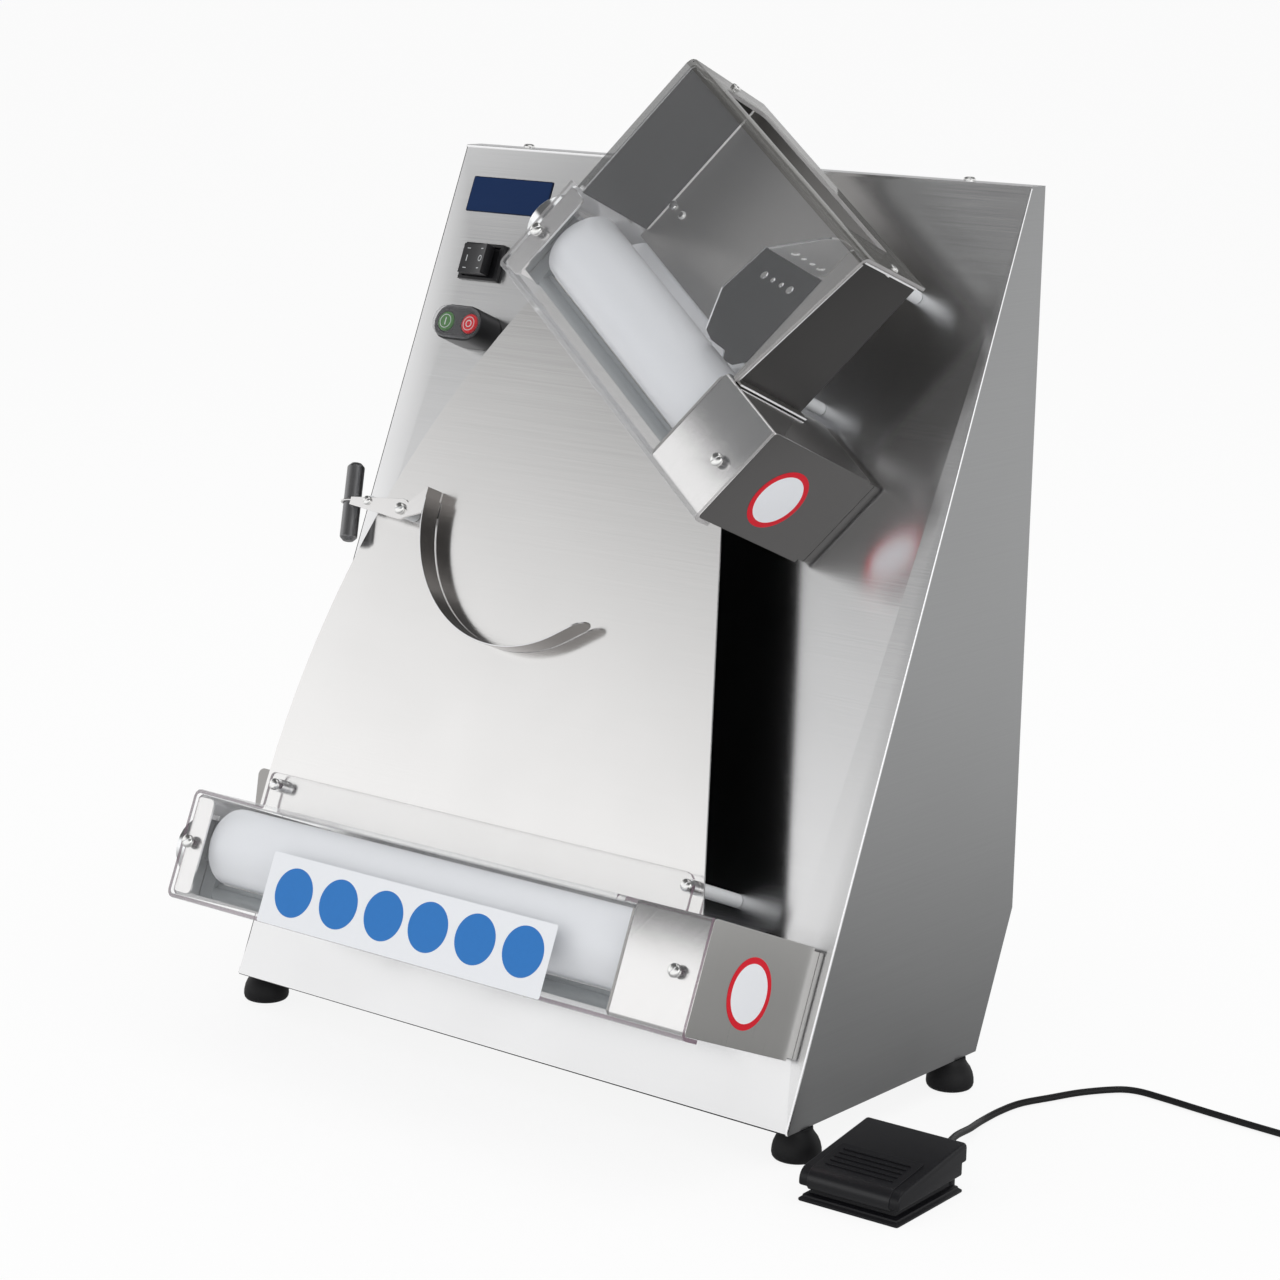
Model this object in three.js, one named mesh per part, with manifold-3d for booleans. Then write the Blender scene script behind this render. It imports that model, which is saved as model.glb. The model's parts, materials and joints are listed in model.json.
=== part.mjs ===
// Table-top dough roller with two pairs of rollers: an inclined upper pair fed by a hopper, a chute
// and a weighted turning flap, and a wide lower pair, all on the leaning front of a sheet-metal body.
// Millimetres: x to the right, y to the back, z up. On the front panel: u right, v up it, n out of it.
// In a roller unit: a along the rollers, ending at zero on the right, b across them, n out of the panel.

import * as THREE from 'three';
import { mergeVertices } from 'three/addons/utils/BufferGeometryUtils.js';
import Module from 'manifold-3d';

const wasm = await Module();
wasm.setup();

const clearance = 0.3;
const overrun = 5;
const sheet = 1.5;
const plate = 2;

// Body
const bodyWidth = 530;
const bodyHeight = 631.1;
const panelRun = 259.9;
const topDepth = 17.5;
const chamferHeight = 101.2;
const chamferDepth = 41.8;
const baseFlange = 22;
const topScrewInset = 58;
const topScrewBack = 9;
const rearScrewInset = 14;
const rearScrewLow = 150;
const rearScrewDrop = 71.1;
const ventLength = 90;
const ventHeight = 5;
const ventPitch = 18;
const ventRows = 6;
const ventLow = 330;
const ventSide = 110;

// Feet
const footHeight = 23.1;
const footRadius = 17.6;
const footSoleRadius = 16;
const footNeckRadius = 11;
const footShoulder = 9;
const footStudRadius = 4;
const footStudRise = 8;
const footSideInset = 8;
const footFrontInset = 23.6;
const footRearInset = 21.1;

// Rollers
const rollRadius = 29;
const rollGap = 1;
const rollTravel = 3.5;
const rollEdge = 1;
const rearN = 38.5;
const rollB = 48;
const shaftRadius = 7;
const endPlay = 1;

// Roller units
const unitHeight = 83;
const unitDepth = 137;
const lowerMarginLeft = 36.8;
const lowerMarginRight = 9.2;
const lowerRise = 46.35;
const lowerScrewB = 43.2;
const upperLength = 284.5;
const upperMarginRight = 110.07;
const upperDrop = 294.79;
const upperAngle = THREE.MathUtils.degToRad(35.067);
const upperScrewB = 40;
const upperPlateTop = 82;
const plateInset = 2;
const frontFlange = 17;
const rearFlange = 14;
const flangeCorner = 4;
const leftScrewInset = 5.5;
const housingLength = 65;
const housingScrewInset = 18;
const rimHeight = 10;
const rimInset = 2;
const rimGrip = 4;

// Clear guards
const guardThick = 3;
const bendInside = 3;
const bendSteps = 3;
const guardFlange = 19;
const lipRise = 28;
const lipFront = 63;
const lipMarginRight = 75.3;
const lipCorner = 8;
const lipScrewDrop = 9.3;
const lipScrewLeft = 7.2;
const lipScrewRight = 4.5;

// Front roller carriages and gap knobs
const blockThick = 12;
const blockHalfHeight = 15;
const blockBack = 20.5;
const blockFront = 14;
const rightBlockThick = 5.5;
const guideThick = 4;
const guideReach = 8;
const guideDepth = 10;
const rightGuideDepth = 5;
const knobRadius = 23;
const knobLength = 34;
const knobEdge = 1.5;
const knobStand = 0.5;
const knobN = 86;
const knobB = 41;
const stemRadius = 5;
const pinRadius = 3;
const pinReach = 8;
const slotPlay = 0.8;

// Tie rod and scraper under each front roller
const tieRadius = 5;
const tieN = 103;
const tieB = 11;
const armGap = 2;
const bladeThick = 3;
const bladeGap = 0.5;

// Gears, pulleys and belts
const gearTeeth = 24;
const gearWidth = 11.5;
const gearInset = 46;
const gearAddendum = 1.8;
const gearTipGap = 0.9;
const gearShares = [[0, -0.3], [1, -0.14], [1, 0.14], [0, 0.3]];
const beltRadius = 3;
const beltSeat = 0.6;
const pulleyPitch = 20;
const pulleyRim = 2;
const pulleyWidth = 16;
const grooveTop = 5;
const grooveBottom = 2.4;
const pulleyInset = 32;
const shaftStub = 4;
const beltHoleMargin = 2.5;
const driveDepth = 70;
const layDepth = 60;
const crossInset = 75;
const layEndReach = 4;
const bracketThick = 8;
const bracketReach = 14;
const bracketFoot = 34;

// Gear motor inside the body
const motorRadius = 42;
const motorLength = 170;
const gearboxLength = 40;
const gearboxHalf = 44;
const gearboxGap = 40;
const motorFootLength = 150;
const motorFootHalf = 50;
const driveSocket = 15;

// Hopper over the upper rollers
const hopperTop = 208;
const hopperInset = 8.5;
const hopperBackN = 50;
const hopperBackLow = 76;
const hopperLeftLow = 82.6;
const hopperSideA = 57;
const hopperSideLow = 84;
const hopperFoot = 8;
const hopperTopFlange = 13;
const hopperRightLowA = 53.7;
const hopperRightTopA = 42.2;
const hopperRightBackA = 56.4;
const topPlateBack = 42;
const feedInset = 34.5;
const feedRight = 85;
const feedBack = 62;
const feedFront = 118;
const feedCorner = 6;
const guardSideFlange = 9;
const topScrewN = 90;
const topScrewLeft = 18.5;
const topScrewRightA = 53.2;
const guideA = 122;
const guideFlare = 37;
const guideFlareTop = 199;
const guideBend = 158;
const guideTab = 12;
const guideTabLow = 95;
const guideTabHigh = 148;
const guideCutN = 100;
const guideCutShares = [0.62, 0.74, 0.8, 1, 1.12, 1.3, 1.24];
const guideTopN = 121;
const flareBackN = 60;
const guideTip = 5;
const guideRise = 9;
const guideChin = 41;
const guideCorner = 9;
const guideHoleRadius = 2.2;
const guideBoltRadius = 3.4;
const guideHolesN = 72;
const guideHolePitch = 11;
const guideHolesB = 140;
const guideFlareHoles = 12;

// Chute
const chuteN = 52;
const chuteLow = 127;
const chuteRightMargin = 75.6;
const chuteLeftMargin = 25.12;
const chuteArcRadius = 710;
const chuteArcSteps = 20;
const chuteTopB = 16;
const chuteTopReach = 24.5;
const chuteTopRightA = 69.5;
const chuteShoulderA = 48.6;
const chuteShoulderB = -1.5;
const chuteStudInset = 14.78;
const chuteStudDrop = 35.36;
const standoffRadius = 5;
const notchHalf = 3;

// Turning flap with its counterweight
const catchInset = 36.15;
const catchDrop = 310.52;
const catchBossRadius = 6;
const catchBossLength = 15;
const catchHubRadius = 8;
const catchPlate = 2;
const catchSweep = THREE.MathUtils.degToRad(123);
const stripRadius = 100;
const stripStartU = 22;
const stripStartV = 12;
const stripTail = 25;
const stripThick = 1;
const stripLow = 54.5;
const stripWidth = 17.5;
const stripSteps = 18;
const tabThick = 2;
const tabDrop = 12;
const tabRise = 8;
const armTip = 52.4;
const armTipHalf = 3;
const weightRadius = 6.75;
const weightLength = 62;
const weightEdge = 3;
const weightOut = 57;
const weightN = 63.3;
const weightLean = THREE.MathUtils.degToRad(12);
const ringWire = 1;
const clampOut = 35;
const clampUp = 2;

// Switch and push-buttons
const switchAside = 51;
const switchDrop = 95.52;
const bezelWidth = 40;
const bezelHeight = 30;
const bezelDepth = 12;
const bezelBodyDepth = 22;
const bezelBodyInset = 3;
const keyHalf = 14;
const keyHeight = 24;
const keyRock = THREE.MathUtils.degToRad(10);
const keySideRise = 7;
const keyMiddleRise = 4.5;
const keyRootHalf = 12;
const keyRootDrop = 3;
const keyHinge = 6.3;
const keyWellHalf = 16.2;
const keyWellDrop = 5.8;
const buttonsShare = 0.4503;
const buttonsDrop = 151.52;
const buttonsWidth = 48;
const buttonsHeight = 28;
const buttonsDepth = 25;
const buttonPitch = 24;
const buttonRadius = 8;
const buttonPlay = 0.5;
const buttonLength = 16;
const buttonTravel = 3;
const buttonStand = 1;
const buttonEdge = 1;
const neckRadius = 10.7;
const neckDepth = 15;

// Screws
const screwHead = 4.2;
const screwHeadHeight = 3;
const screwShank = 2;
const screwHole = 2.4;
const smallHead = 3.4;
const smallHeadHeight = 2.2;
const smallShank = 1.6;
const screwDomeShare = 0.65;
const screwSideShare = 0.4;
const screwSides = 8;

// Connections on the back
const glandInset = 75;
const glandZ = 135;
const glandRadius = 9;
const glandLength = 20;
const glandNeck = 6;
const glandNutRadius = 12;
const glandNut = 5;
const socketRadius = 12;
const socketLength = 9;
const socketBore = 8;
const socketFlange = 15;

// Foot pedal
const pedalAside = 76.6;
const pedalY = 3;
const pedalYaw = THREE.MathUtils.degToRad(2.4);
const pedalWidth = 78.4;
const pedalLength = 83.1;
const pedalLip = 3;
const pedalNose = 16;
const pedalHeelCorner = 5;
const treadleInset = 1.8;
const treadleNoseInset = 2.4;
const treadleWall = 3;
const treadleLow = 8.5;
const treadleHeelLow = 5;
const treadleNoseHigh = 21.8;
const treadleHeelHigh = 34.7;
const treadleRound = 5;
const heelWall = 6;
const heelWallHeight = 22;
const heelWallSide = 5;
const heelGap = 0.6;
const pedalPinRadius = 2.5;
const pedalPinBack = 33;
const pedalPinHigh = 10;
const pedalEarThick = 4;
const pedalEarHalf = 7;
const pedalEarRise = 5;
const pedalBlockHigh = 10;
const ribCount = 6;
const ribPitch = 9;
const ribWidth = 3;
const ribHeight = 1.2;
const ribHalfLength = 27;
const ribSink = 1;
const ribFirst = 6;
const reliefRadius = 5;
const reliefTip = 3.6;
const reliefLength = 11;
const reliefX = 16.5;
const reliefZ = 14;

// Pedal cord: it lies on the floor, then in a small two-layer coil that ends in a connector.
// The route's points are counted from the pedal's middle to the right.
const cordRadius = 2.5;
const cordSides = 8;
const cordSteps = 48;
const cordRoute = [
  [6.4, 74, 17], [-2.6, 96, 15], [-13.6, 133, 8], [-22.1, 160, 3.4], [-24, 187, 2.8],
  [-21.6, 211, 2.8], [-11.6, 236, 2.8], [-1.1, 260, 2.8], [12.4, 280, 2.8], [20.4, 287.6, 2.8],
  [30.4, 291, 2.8], [48.4, 290.5, 2.8], [85, 287, 2.8], [124, 284, 2.8], [157.4, 282.3, 2.8],
];
const coilAside = 184.4;
const coilY = 282;
const coilOuter = 36;
const coilTurns = 3;
const coilPitch = 5.6;
const coilSides = 6;
const coilLoopSteps = 24;
const connectorRadius = 8;
const connectorLength = 70;
const connectorTail = 2.6;
const connectorTailLength = 30;
const connectorNose = 5.5;
const connectorNoseLength = 12;

// Worked out from the sizes above
const bodyDepth = panelRun + topDepth;
const slope = panelRun / bodyHeight;
const tilt = Math.atan(slope);
const skin = sheet / Math.cos(tilt);
const backSlope = chamferDepth / chamferHeight;
const backSkin = sheet * Math.hypot(1, backSlope);
const baseDepth = bodyDepth - chamferDepth;
const innerHalf = bodyWidth / 2 - sheet;
const frontN = rearN + rollRadius * 2 + rollGap;
const faceN = unitDepth - guardThick - clearance;
const plateLow = guardThick + clearance;
const lowerLength = bodyWidth - lowerMarginLeft - lowerMarginRight;
const lowerOrigin = [bodyWidth / 2 - lowerMarginRight, lowerRise];
const panelLength = Math.hypot(bodyHeight, panelRun);
const upperOrigin = [bodyWidth / 2 - upperMarginRight, panelLength - upperDrop];
const camOffset = rollTravel / 2;
const pitchRadius = rollRadius + rollGap / 2;
const beltHole = pulleyPitch + beltRadius + beltHoleMargin;
const panelMatrix = new THREE.Matrix4().makeRotationX(Math.PI / 2 - tilt);
const lowerMatrix = new THREE.Matrix4().makeTranslation(lowerOrigin[0], lowerOrigin[1], 0);
const upperMatrix = new THREE.Matrix4().makeRotationZ(-upperAngle);
upperMatrix.setPosition(upperOrigin[0], upperOrigin[1], 0);
const lowerPulley = new THREE.Vector3(-pulleyInset, rollB, rearN).applyMatrix4(lowerMatrix);
const upperPulley = new THREE.Vector3(-pulleyInset, rollB, rearN).applyMatrix4(upperMatrix);
const crossU = bodyWidth / 2 - crossInset;
const gearboxRight = crossU - gearboxGap;
const drivePoint = new THREE.Vector3(lowerPulley.x, lowerPulley.y, -driveDepth);
const layPoint = new THREE.Vector3(upperPulley.x, upperPulley.y, -layDepth);
const hopperLeftA = -upperLength + hopperInset + guardThick + clearance;
const topScrewLeftA = upperLength - topScrewLeft;
const hopperRoof = hopperTop - guardThick - clearance;
const chuteFace = chuteN + sheet;
const switchU = switchAside - bodyWidth / 2;
const switchV = panelLength - switchDrop;
const buttonsV = panelLength - buttonsDrop;
const topScrewX = bodyWidth / 2 - topScrewInset;
const glandU = bodyWidth / 2 - glandInset;
const pedalX = bodyWidth / 2 + pedalAside;
const coilX = pedalX + coilAside;
const lipB = unitHeight + lipRise;
const lipScrewB = lipB - lipScrewDrop;

const quarter = Math.PI / 2;

// Left edge of the chute, and what follows it
const upperPoint = (a, b) => {
  const point = new THREE.Vector3(a, b, 0).applyMatrix4(upperMatrix);
  return [point.x, point.y];
};
const chuteTopLeft = upperPoint(-upperLength - chuteTopReach, chuteTopB);
const chord = new THREE.Vector2(chuteLeftMargin - bodyWidth / 2 - chuteTopLeft[0], chuteLow - chuteTopLeft[1]);
const halfTurn = Math.asin(chord.length() / 2 / chuteArcRadius);
const chuteArcFrom = chord.angle() - quarter - halfTurn;
const chuteArcMiddle = [
  chuteTopLeft[0] - Math.cos(chuteArcFrom) * chuteArcRadius,
  chuteTopLeft[1] - Math.sin(chuteArcFrom) * chuteArcRadius,
];
const chuteLeftAt = (v) => chuteArcMiddle[0]
  + Math.sqrt(chuteArcRadius ** 2 - (v - chuteArcMiddle[1]) ** 2) * Math.sign(chuteTopLeft[0] - chuteArcMiddle[0]);
const catchV = panelLength - catchDrop;
const catchU = chuteLeftAt(catchV) + catchInset;
const buttonsU = buttonsShare * (chuteLeftAt(buttonsV) + bodyWidth / 2) - bodyWidth / 2;
const chuteStudV = chuteTopLeft[1] - chuteStudDrop;
const chuteStudU = chuteLeftAt(chuteStudV) + chuteStudInset;

// Colours
function finish(color, metalness, roughness, opacity = 1) {
  const material = new THREE.MeshStandardMaterial({ color, metalness, roughness });
  material.transparent = opacity < 1;
  material.opacity = opacity;
  return material;
}
const stainless = finish(0xc6c6c8, 1, 0.32);
const brightSteel = finish(0xd6d6d8, 1, 0.22);
const aluminium = finish(0xd2d4d6, 1, 0.2);
const castGrey = finish(0x8d9296, 0.6, 0.5);
const whitePlastic = finish(0xe4e8ea, 0, 0.4);
const clearPlastic = finish(0xe8ecee, 0, 0.08, 0.3);
const blackPlastic = finish(0x1c1c1f, 0, 0.45);
const blackRubber = finish(0x1a1a1c, 0, 0.8);
const greenPlastic = finish(0x4f8a4c, 0, 0.4);
const redPlastic = finish(0xc02c32, 0, 0.4);
const beltGreen = finish(0x3f7d4a, 0, 0.6);

// Shapes
function bare(geometry) {
  const copy = geometry.index ? geometry.toNonIndexed() : geometry.clone();
  for (const name of Object.keys(copy.attributes)) {
    if (name !== 'position') {
      copy.deleteAttribute(name);
    }
  }
  return copy;
}

function toSolid(geometry) {
  const welded = mergeVertices(bare(geometry));
  const corners = welded.getIndex().array;
  const triangles = [];
  for (let i = 0; i < corners.length; i += 3) {
    const [p, q, r] = [corners[i], corners[i + 1], corners[i + 2]];
    if (p !== q && q !== r && r !== p) {
      triangles.push(p, q, r);
    }
  }
  const vertProperties = new Float32Array(welded.getAttribute('position').array);
  return new wasm.Manifold(new wasm.Mesh({ numProp: 3, vertProperties, triVerts: new Uint32Array(triangles) }));
}

function toGeometry(solid) {
  const mesh = solid.getMesh();
  const geometry = new THREE.BufferGeometry();
  geometry.setAttribute('position', new THREE.BufferAttribute(new Float32Array(mesh.vertProperties), 3));
  geometry.setIndex(new THREE.BufferAttribute(new Uint32Array(mesh.triVerts), 1));
  return geometry;
}

function build(solids, holes = []) {
  let result = toSolid(solids[0]);
  for (const solid of solids.slice(1)) {
    result = result.add(toSolid(solid));
  }
  for (const hole of holes) {
    result = result.subtract(toSolid(hole));
  }
  return toGeometry(result);
}

function slabZ(outline, [low, high], holes = []) {
  const shape = new THREE.Shape(outline.map(([x, y]) => new THREE.Vector2(x, y)));
  for (const hole of holes) {
    shape.holes.push(new THREE.Path(hole.map(([x, y]) => new THREE.Vector2(x, y))));
  }
  const geometry = new THREE.ExtrudeGeometry(shape, { depth: high - low, bevelEnabled: false });
  return geometry.translate(0, 0, low);
}

const xAxis = new THREE.Vector3(1, 0, 0);
const yAxis = new THREE.Vector3(0, 1, 0);
const zAxis = new THREE.Vector3(0, 0, 1);
const turnToX = new THREE.Matrix4().makeBasis(yAxis, zAxis, xAxis);
const turnToY = new THREE.Matrix4().makeBasis(zAxis, xAxis, yAxis);

// Outline in y and z, pushed along x
function slabX(outline, range, holes = []) {
  return slabZ(outline, range, holes).applyMatrix4(turnToX);
}

// Outline in z and x, pushed along y
function slabY(outline, range, holes = []) {
  return slabZ(outline, range, holes).applyMatrix4(turnToY);
}

function box([x0, x1], [y0, y1], [z0, z1]) {
  const geometry = new THREE.BoxGeometry(x1 - x0, y1 - y0, z1 - z0);
  return geometry.translate((x0 + x1) / 2, (y0 + y1) / 2, (z0 + z1) / 2);
}

// Profiles of radius and height, turned about z, x or y
function turnedZ(profile, sides) {
  const points = profile.map(([radius, height]) => new THREE.Vector2(radius, height));
  return new THREE.LatheGeometry(points, sides).rotateX(Math.PI / 2);
}

function turnedX(profile, sides) {
  return turnedZ(profile, sides).applyMatrix4(turnToX);
}

function turnedY(profile, sides) {
  return turnedZ(profile, sides).applyMatrix4(turnToY);
}

function rod(radius, [low, high]) {
  return [[0, low], [radius, low], [radius, high], [0, high]];
}

function circle(x, y, radius, steps = 16) {
  const points = [];
  for (let i = 0; i < steps; i += 1) {
    const angle = i / steps * Math.PI * 2;
    points.push([x + Math.cos(angle) * radius, y + Math.sin(angle) * radius]);
  }
  return points;
}

function arc([x, y], radius, from, to, steps) {
  const points = [];
  for (let i = 0; i <= steps; i += 1) {
    const angle = from + (to - from) * i / steps;
    points.push([x + Math.cos(angle) * radius, y + Math.sin(angle) * radius]);
  }
  return points;
}

function roundRect([x0, x1], [y0, y1], radius, steps = 3) {
  return [
    ...arc([x1 - radius, y1 - radius], radius, 0, Math.PI / 2, steps),
    ...arc([x0 + radius, y1 - radius], radius, Math.PI / 2, Math.PI, steps),
    ...arc([x0 + radius, y0 + radius], radius, Math.PI, Math.PI * 3 / 2, steps),
    ...arc([x1 - radius, y0 + radius], radius, Math.PI * 3 / 2, Math.PI * 2, steps),
  ];
}

function rect([x0, x1], [y0, y1]) {
  return [[x0, y0], [x1, y0], [x1, y1], [x0, y1]];
}

// Domed screw standing on height zero
function screw(head, height, shank, length) {
  return turnedZ([
    [0, -length], [shank, -length], [shank, 0], [head, 0], [head, height * screwSideShare],
    [head * screwDomeShare, height], [0, height],
  ], screwSides);
}

const root = new THREE.Group();
const frame = new THREE.Group();
const panel = new THREE.Group();
const lower = new THREE.Group();
const upper = new THREE.Group();
root.add(frame);
frame.add(panel);
panel.add(lower);
panel.add(upper);
panel.applyMatrix4(panelMatrix);
lower.applyMatrix4(lowerMatrix);
upper.applyMatrix4(upperMatrix);

function add(group, name, geometry, material, position = [0, 0, 0]) {
  const mesh = new THREE.Mesh(geometry, material);
  mesh.name = name;
  mesh.position.set(...position);
  group.add(mesh);
  return mesh;
}

// Places that several pieces share
const lipScrews = [
  [-lowerLength + lipScrewLeft, lipScrewB], [-lipMarginRight - lipScrewRight, lipScrewB],
].map(([x, y]) => new THREE.Vector3(x, y, 0).applyMatrix4(lowerMatrix));
const chuteStud = new THREE.Vector3(chuteStudU, chuteStudV, 0);
const chuteStuds = [...lipScrews, chuteStud];
const hopperStuds = [
  [hopperLeftA + frontFlange, hopperBackLow + frontFlange * 2],
  [-hopperSideA - standoffRadius * 6, hopperRoof - hopperTopFlange],
  [-hopperSideA - standoffRadius * 5, hopperBackLow + standoffRadius * 2],
];
const footX = bodyWidth / 2 - footSideInset;
const footPlaces = [
  [-footX, footFrontInset, 'foot_front_left'], [footX, footFrontInset, 'foot_front_right'],
  [-footX, baseDepth - footRearInset, 'foot_rear_left'], [footX, baseDepth - footRearInset, 'foot_rear_right'],
];
const topScrews = [-topScrewX, topScrewX].map((x) => [x, bodyDepth - topScrewBack]);
const rearScrews = [-1, 1].flatMap((side) => [rearScrewLow, bodyHeight - rearScrewDrop].map((z) => [
  side * (innerHalf - rearScrewInset), z,
]));

// Body: front panel, side walls and in-turned base flange in one folded shell, open at the back
const shelf = bodyHeight - sheet * 2 - clearance;
const bodyOutline = [
  [0, 0], [baseDepth, 0], [bodyDepth, chamferHeight], [bodyDepth, bodyHeight], [panelRun, bodyHeight],
];
const shellInside = [
  [skin + sheet * slope, sheet], [bodyDepth + overrun, sheet], [bodyDepth + overrun, shelf],
  [skin + shelf * slope, shelf],
];
const switchHole = bezelBodyInset - clearance;
const panelCuts = [
  box([switchU - bezelWidth / 2 + switchHole, switchU + bezelWidth / 2 - switchHole],
    [switchV - bezelHeight / 2 + switchHole, switchV + bezelHeight / 2 - switchHole],
    [-sheet - overrun, overrun]),
  turnedZ(rod(neckRadius + clearance, [-sheet - overrun, overrun]), 16)
    .translate(buttonsU, buttonsV, 0),
  turnedZ(rod(beltHole, [-sheet - overrun, overrun]), 24).translate(lowerPulley.x, lowerPulley.y, 0),
  turnedZ(rod(beltHole, [-sheet - overrun, overrun]), 24).translate(upperPulley.x, upperPulley.y, 0),
].map((geometry) => geometry.applyMatrix4(panelMatrix));
const rearTabs = [-1, 1].map((side) => box(
  side < 0 ? [-innerHalf - clearance, -innerHalf + baseFlange] : [innerHalf - baseFlange, innerHalf + clearance],
  [bodyDepth - sheet * 2 - clearance, bodyDepth - sheet - clearance],
  [chamferHeight + sheet, shelf + clearance],
));
add(frame, 'body_shell', build(
  [build([slabX(bodyOutline, [-bodyWidth / 2, bodyWidth / 2])], [
    slabX(shellInside, [-innerHalf, innerHalf]),
    box([-innerHalf + baseFlange, innerHalf - baseFlange],
      [skin + baseFlange, baseDepth - baseFlange], [-overrun, sheet + overrun]),
    box([-innerHalf, innerHalf], [panelRun + skin, bodyDepth + overrun],
      [bodyHeight - sheet - clearance, bodyHeight + overrun]),
    box([-innerHalf, innerHalf], [bodyDepth - sheet - clearance, bodyDepth + overrun],
      [chamferHeight, bodyHeight + overrun]),
    ...panelCuts,
    ...footPlaces.map(([x, y]) => turnedZ(
      rod(footStudRadius + clearance, [-overrun, sheet + overrun]), 12).translate(x, y, 0)),
  ]), ...rearTabs],
  [
    ...topScrews.map(([x, y]) => turnedZ(rod(screwHole, [shelf - overrun, bodyHeight]), screwSides)
      .translate(x, y, 0)),
    ...rearScrews.map(([x, z]) => turnedY(
      rod(screwHole, [bodyDepth - sheet * 2 - overrun, bodyDepth + overrun]), screwSides).translate(x, 0, z)),
  ],
), stainless);

// Rear cover between the side walls, folded over the top, with vent slots
const coverFoot = sheet + clearance;
const coverKink = (chamferDepth - sheet + backSkin) / backSlope;
const coverOutline = [
  [baseDepth + coverFoot * backSlope, coverFoot], [bodyDepth, chamferHeight], [bodyDepth, bodyHeight],
  [panelRun + skin + clearance, bodyHeight], [panelRun + skin + clearance, bodyHeight - sheet],
  [bodyDepth - sheet, bodyHeight - sheet], [bodyDepth - sheet, coverKink],
  [baseDepth - backSkin + coverFoot * backSlope, coverFoot],
];
const backRange = [bodyDepth - sheet - overrun, bodyDepth + overrun];
const vents = [];
for (let row = 0; row < ventRows; row += 1) {
  for (const side of [-1, 1]) {
    const z = ventLow + row * ventPitch;
    vents.push(box([side * ventSide - ventLength / 2, side * ventSide + ventLength / 2], backRange,
      [z - ventHeight / 2, z + ventHeight / 2]));
  }
}
const bodyScrew = screw(screwHead, screwHeadHeight, screwShank, sheet * 2 + clearance);
add(frame, 'rear_cover', build(
  [
    slabX(coverOutline, [-innerHalf + clearance, innerHalf - clearance]),
    ...topScrews.map(([x, y]) => bodyScrew.clone().translate(x, y, bodyHeight)),
    ...rearScrews.map(([x, z]) => bodyScrew.clone().applyMatrix4(turnToY).translate(x, bodyDepth, z)),
  ],
  [
    ...vents,
    turnedY(rod(glandNeck + clearance, backRange), 16).translate(-glandU, 0, glandZ),
    turnedY(rod(socketBore + clearance, backRange), 16).translate(glandU, 0, glandZ),
  ],
), stainless);

const floorPlate = sheet + clearance;
add(frame, 'base_plate', build(
  [box([-innerHalf + clearance, innerHalf - clearance],
    [skin + (floorPlate + sheet) * slope + clearance, baseDepth - backSkin + floorPlate * backSlope - clearance],
    [floorPlate, floorPlate + sheet])],
  footPlaces.map(([x, y]) => turnedZ(rod(footStudRadius + clearance, [0, floorPlate + overrun]), 12)
    .translate(x, y, 0)),
), stainless);

for (const [x, y, name] of footPlaces) {
  add(frame, name, turnedZ([
    [0, -footHeight], [footSoleRadius, -footHeight], [footRadius, footStudRadius - footHeight],
    [footSoleRadius, -footShoulder], [footNeckRadius, -clearance], [footStudRadius, -clearance],
    [footStudRadius, footStudRise], [0, footStudRise],
  ], 16), blackRubber, [x, y, 0]);
}

// Push-button box and switch
const bezelSides = [switchU - bezelWidth / 2, switchU + bezelWidth / 2];
const bezelEnds = [switchV - bezelHeight / 2, switchV + bezelHeight / 2];
add(panel, 'switch_bezel', build([
  box(bezelSides, bezelEnds, [clearance, bezelDepth]),
  box(bezelSides.map((u, i) => u + (i ? -bezelBodyInset : bezelBodyInset)),
    bezelEnds.map((v, i) => v + (i ? -bezelBodyInset : bezelBodyInset)), [-bezelBodyDepth, bezelDepth / 2]),
], [
  box([switchU - keyWellHalf, switchU + keyWellHalf],
    [switchV - keyHeight / 2 - clearance, switchV + keyHeight / 2 + clearance],
    [keyHinge - keyWellDrop, bezelDepth + overrun]),
]), blackPlastic);
const keyOutline = [
  [-keyHalf, keySideRise], [-keyRootHalf, -keyRootDrop], [keyRootHalf, -keyRootDrop],
  [keyHalf, keySideRise], [0, keyMiddleRise],
].map(([u, n]) => [n, u]);
const key = add(panel, 'switch_key', slabY(keyOutline, [-keyHeight / 2, keyHeight / 2]), blackPlastic,
  [switchU, switchV, keyHinge]);
key.rotation.y = -keyRock;

const stadium = (halfWidth, halfHeight) => [
  ...arc([halfWidth - halfHeight, 0], halfHeight, -Math.PI / 2, Math.PI / 2, 8),
  ...arc([halfHeight - halfWidth, 0], halfHeight, Math.PI / 2, Math.PI * 3 / 2, 8),
];
const buttonFloor = buttonsDepth + buttonStand - buttonLength;
add(panel, 'button_housing', build([
  slabZ(stadium(buttonsWidth / 2, buttonsHeight / 2), [clearance, buttonsDepth]),
  turnedZ(rod(neckRadius, [-neckDepth, overrun]), 16),
], [-1, 1].map((side) => turnedZ(
  rod(buttonRadius + buttonPlay, [buttonFloor - buttonTravel - clearance, buttonsDepth + overrun]), 20)
  .translate(side * buttonPitch / 2, 0, 0))), blackPlastic, [buttonsU, buttonsV, 0]);
const button = turnedZ([
  [0, 0], [buttonRadius, 0], [buttonRadius, buttonLength - buttonEdge],
  [buttonRadius - buttonEdge, buttonLength], [0, buttonLength],
], 20);
add(panel, 'start_button', button.clone(), greenPlastic,
  [buttonsU - buttonPitch / 2, buttonsV, buttonFloor]);
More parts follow.
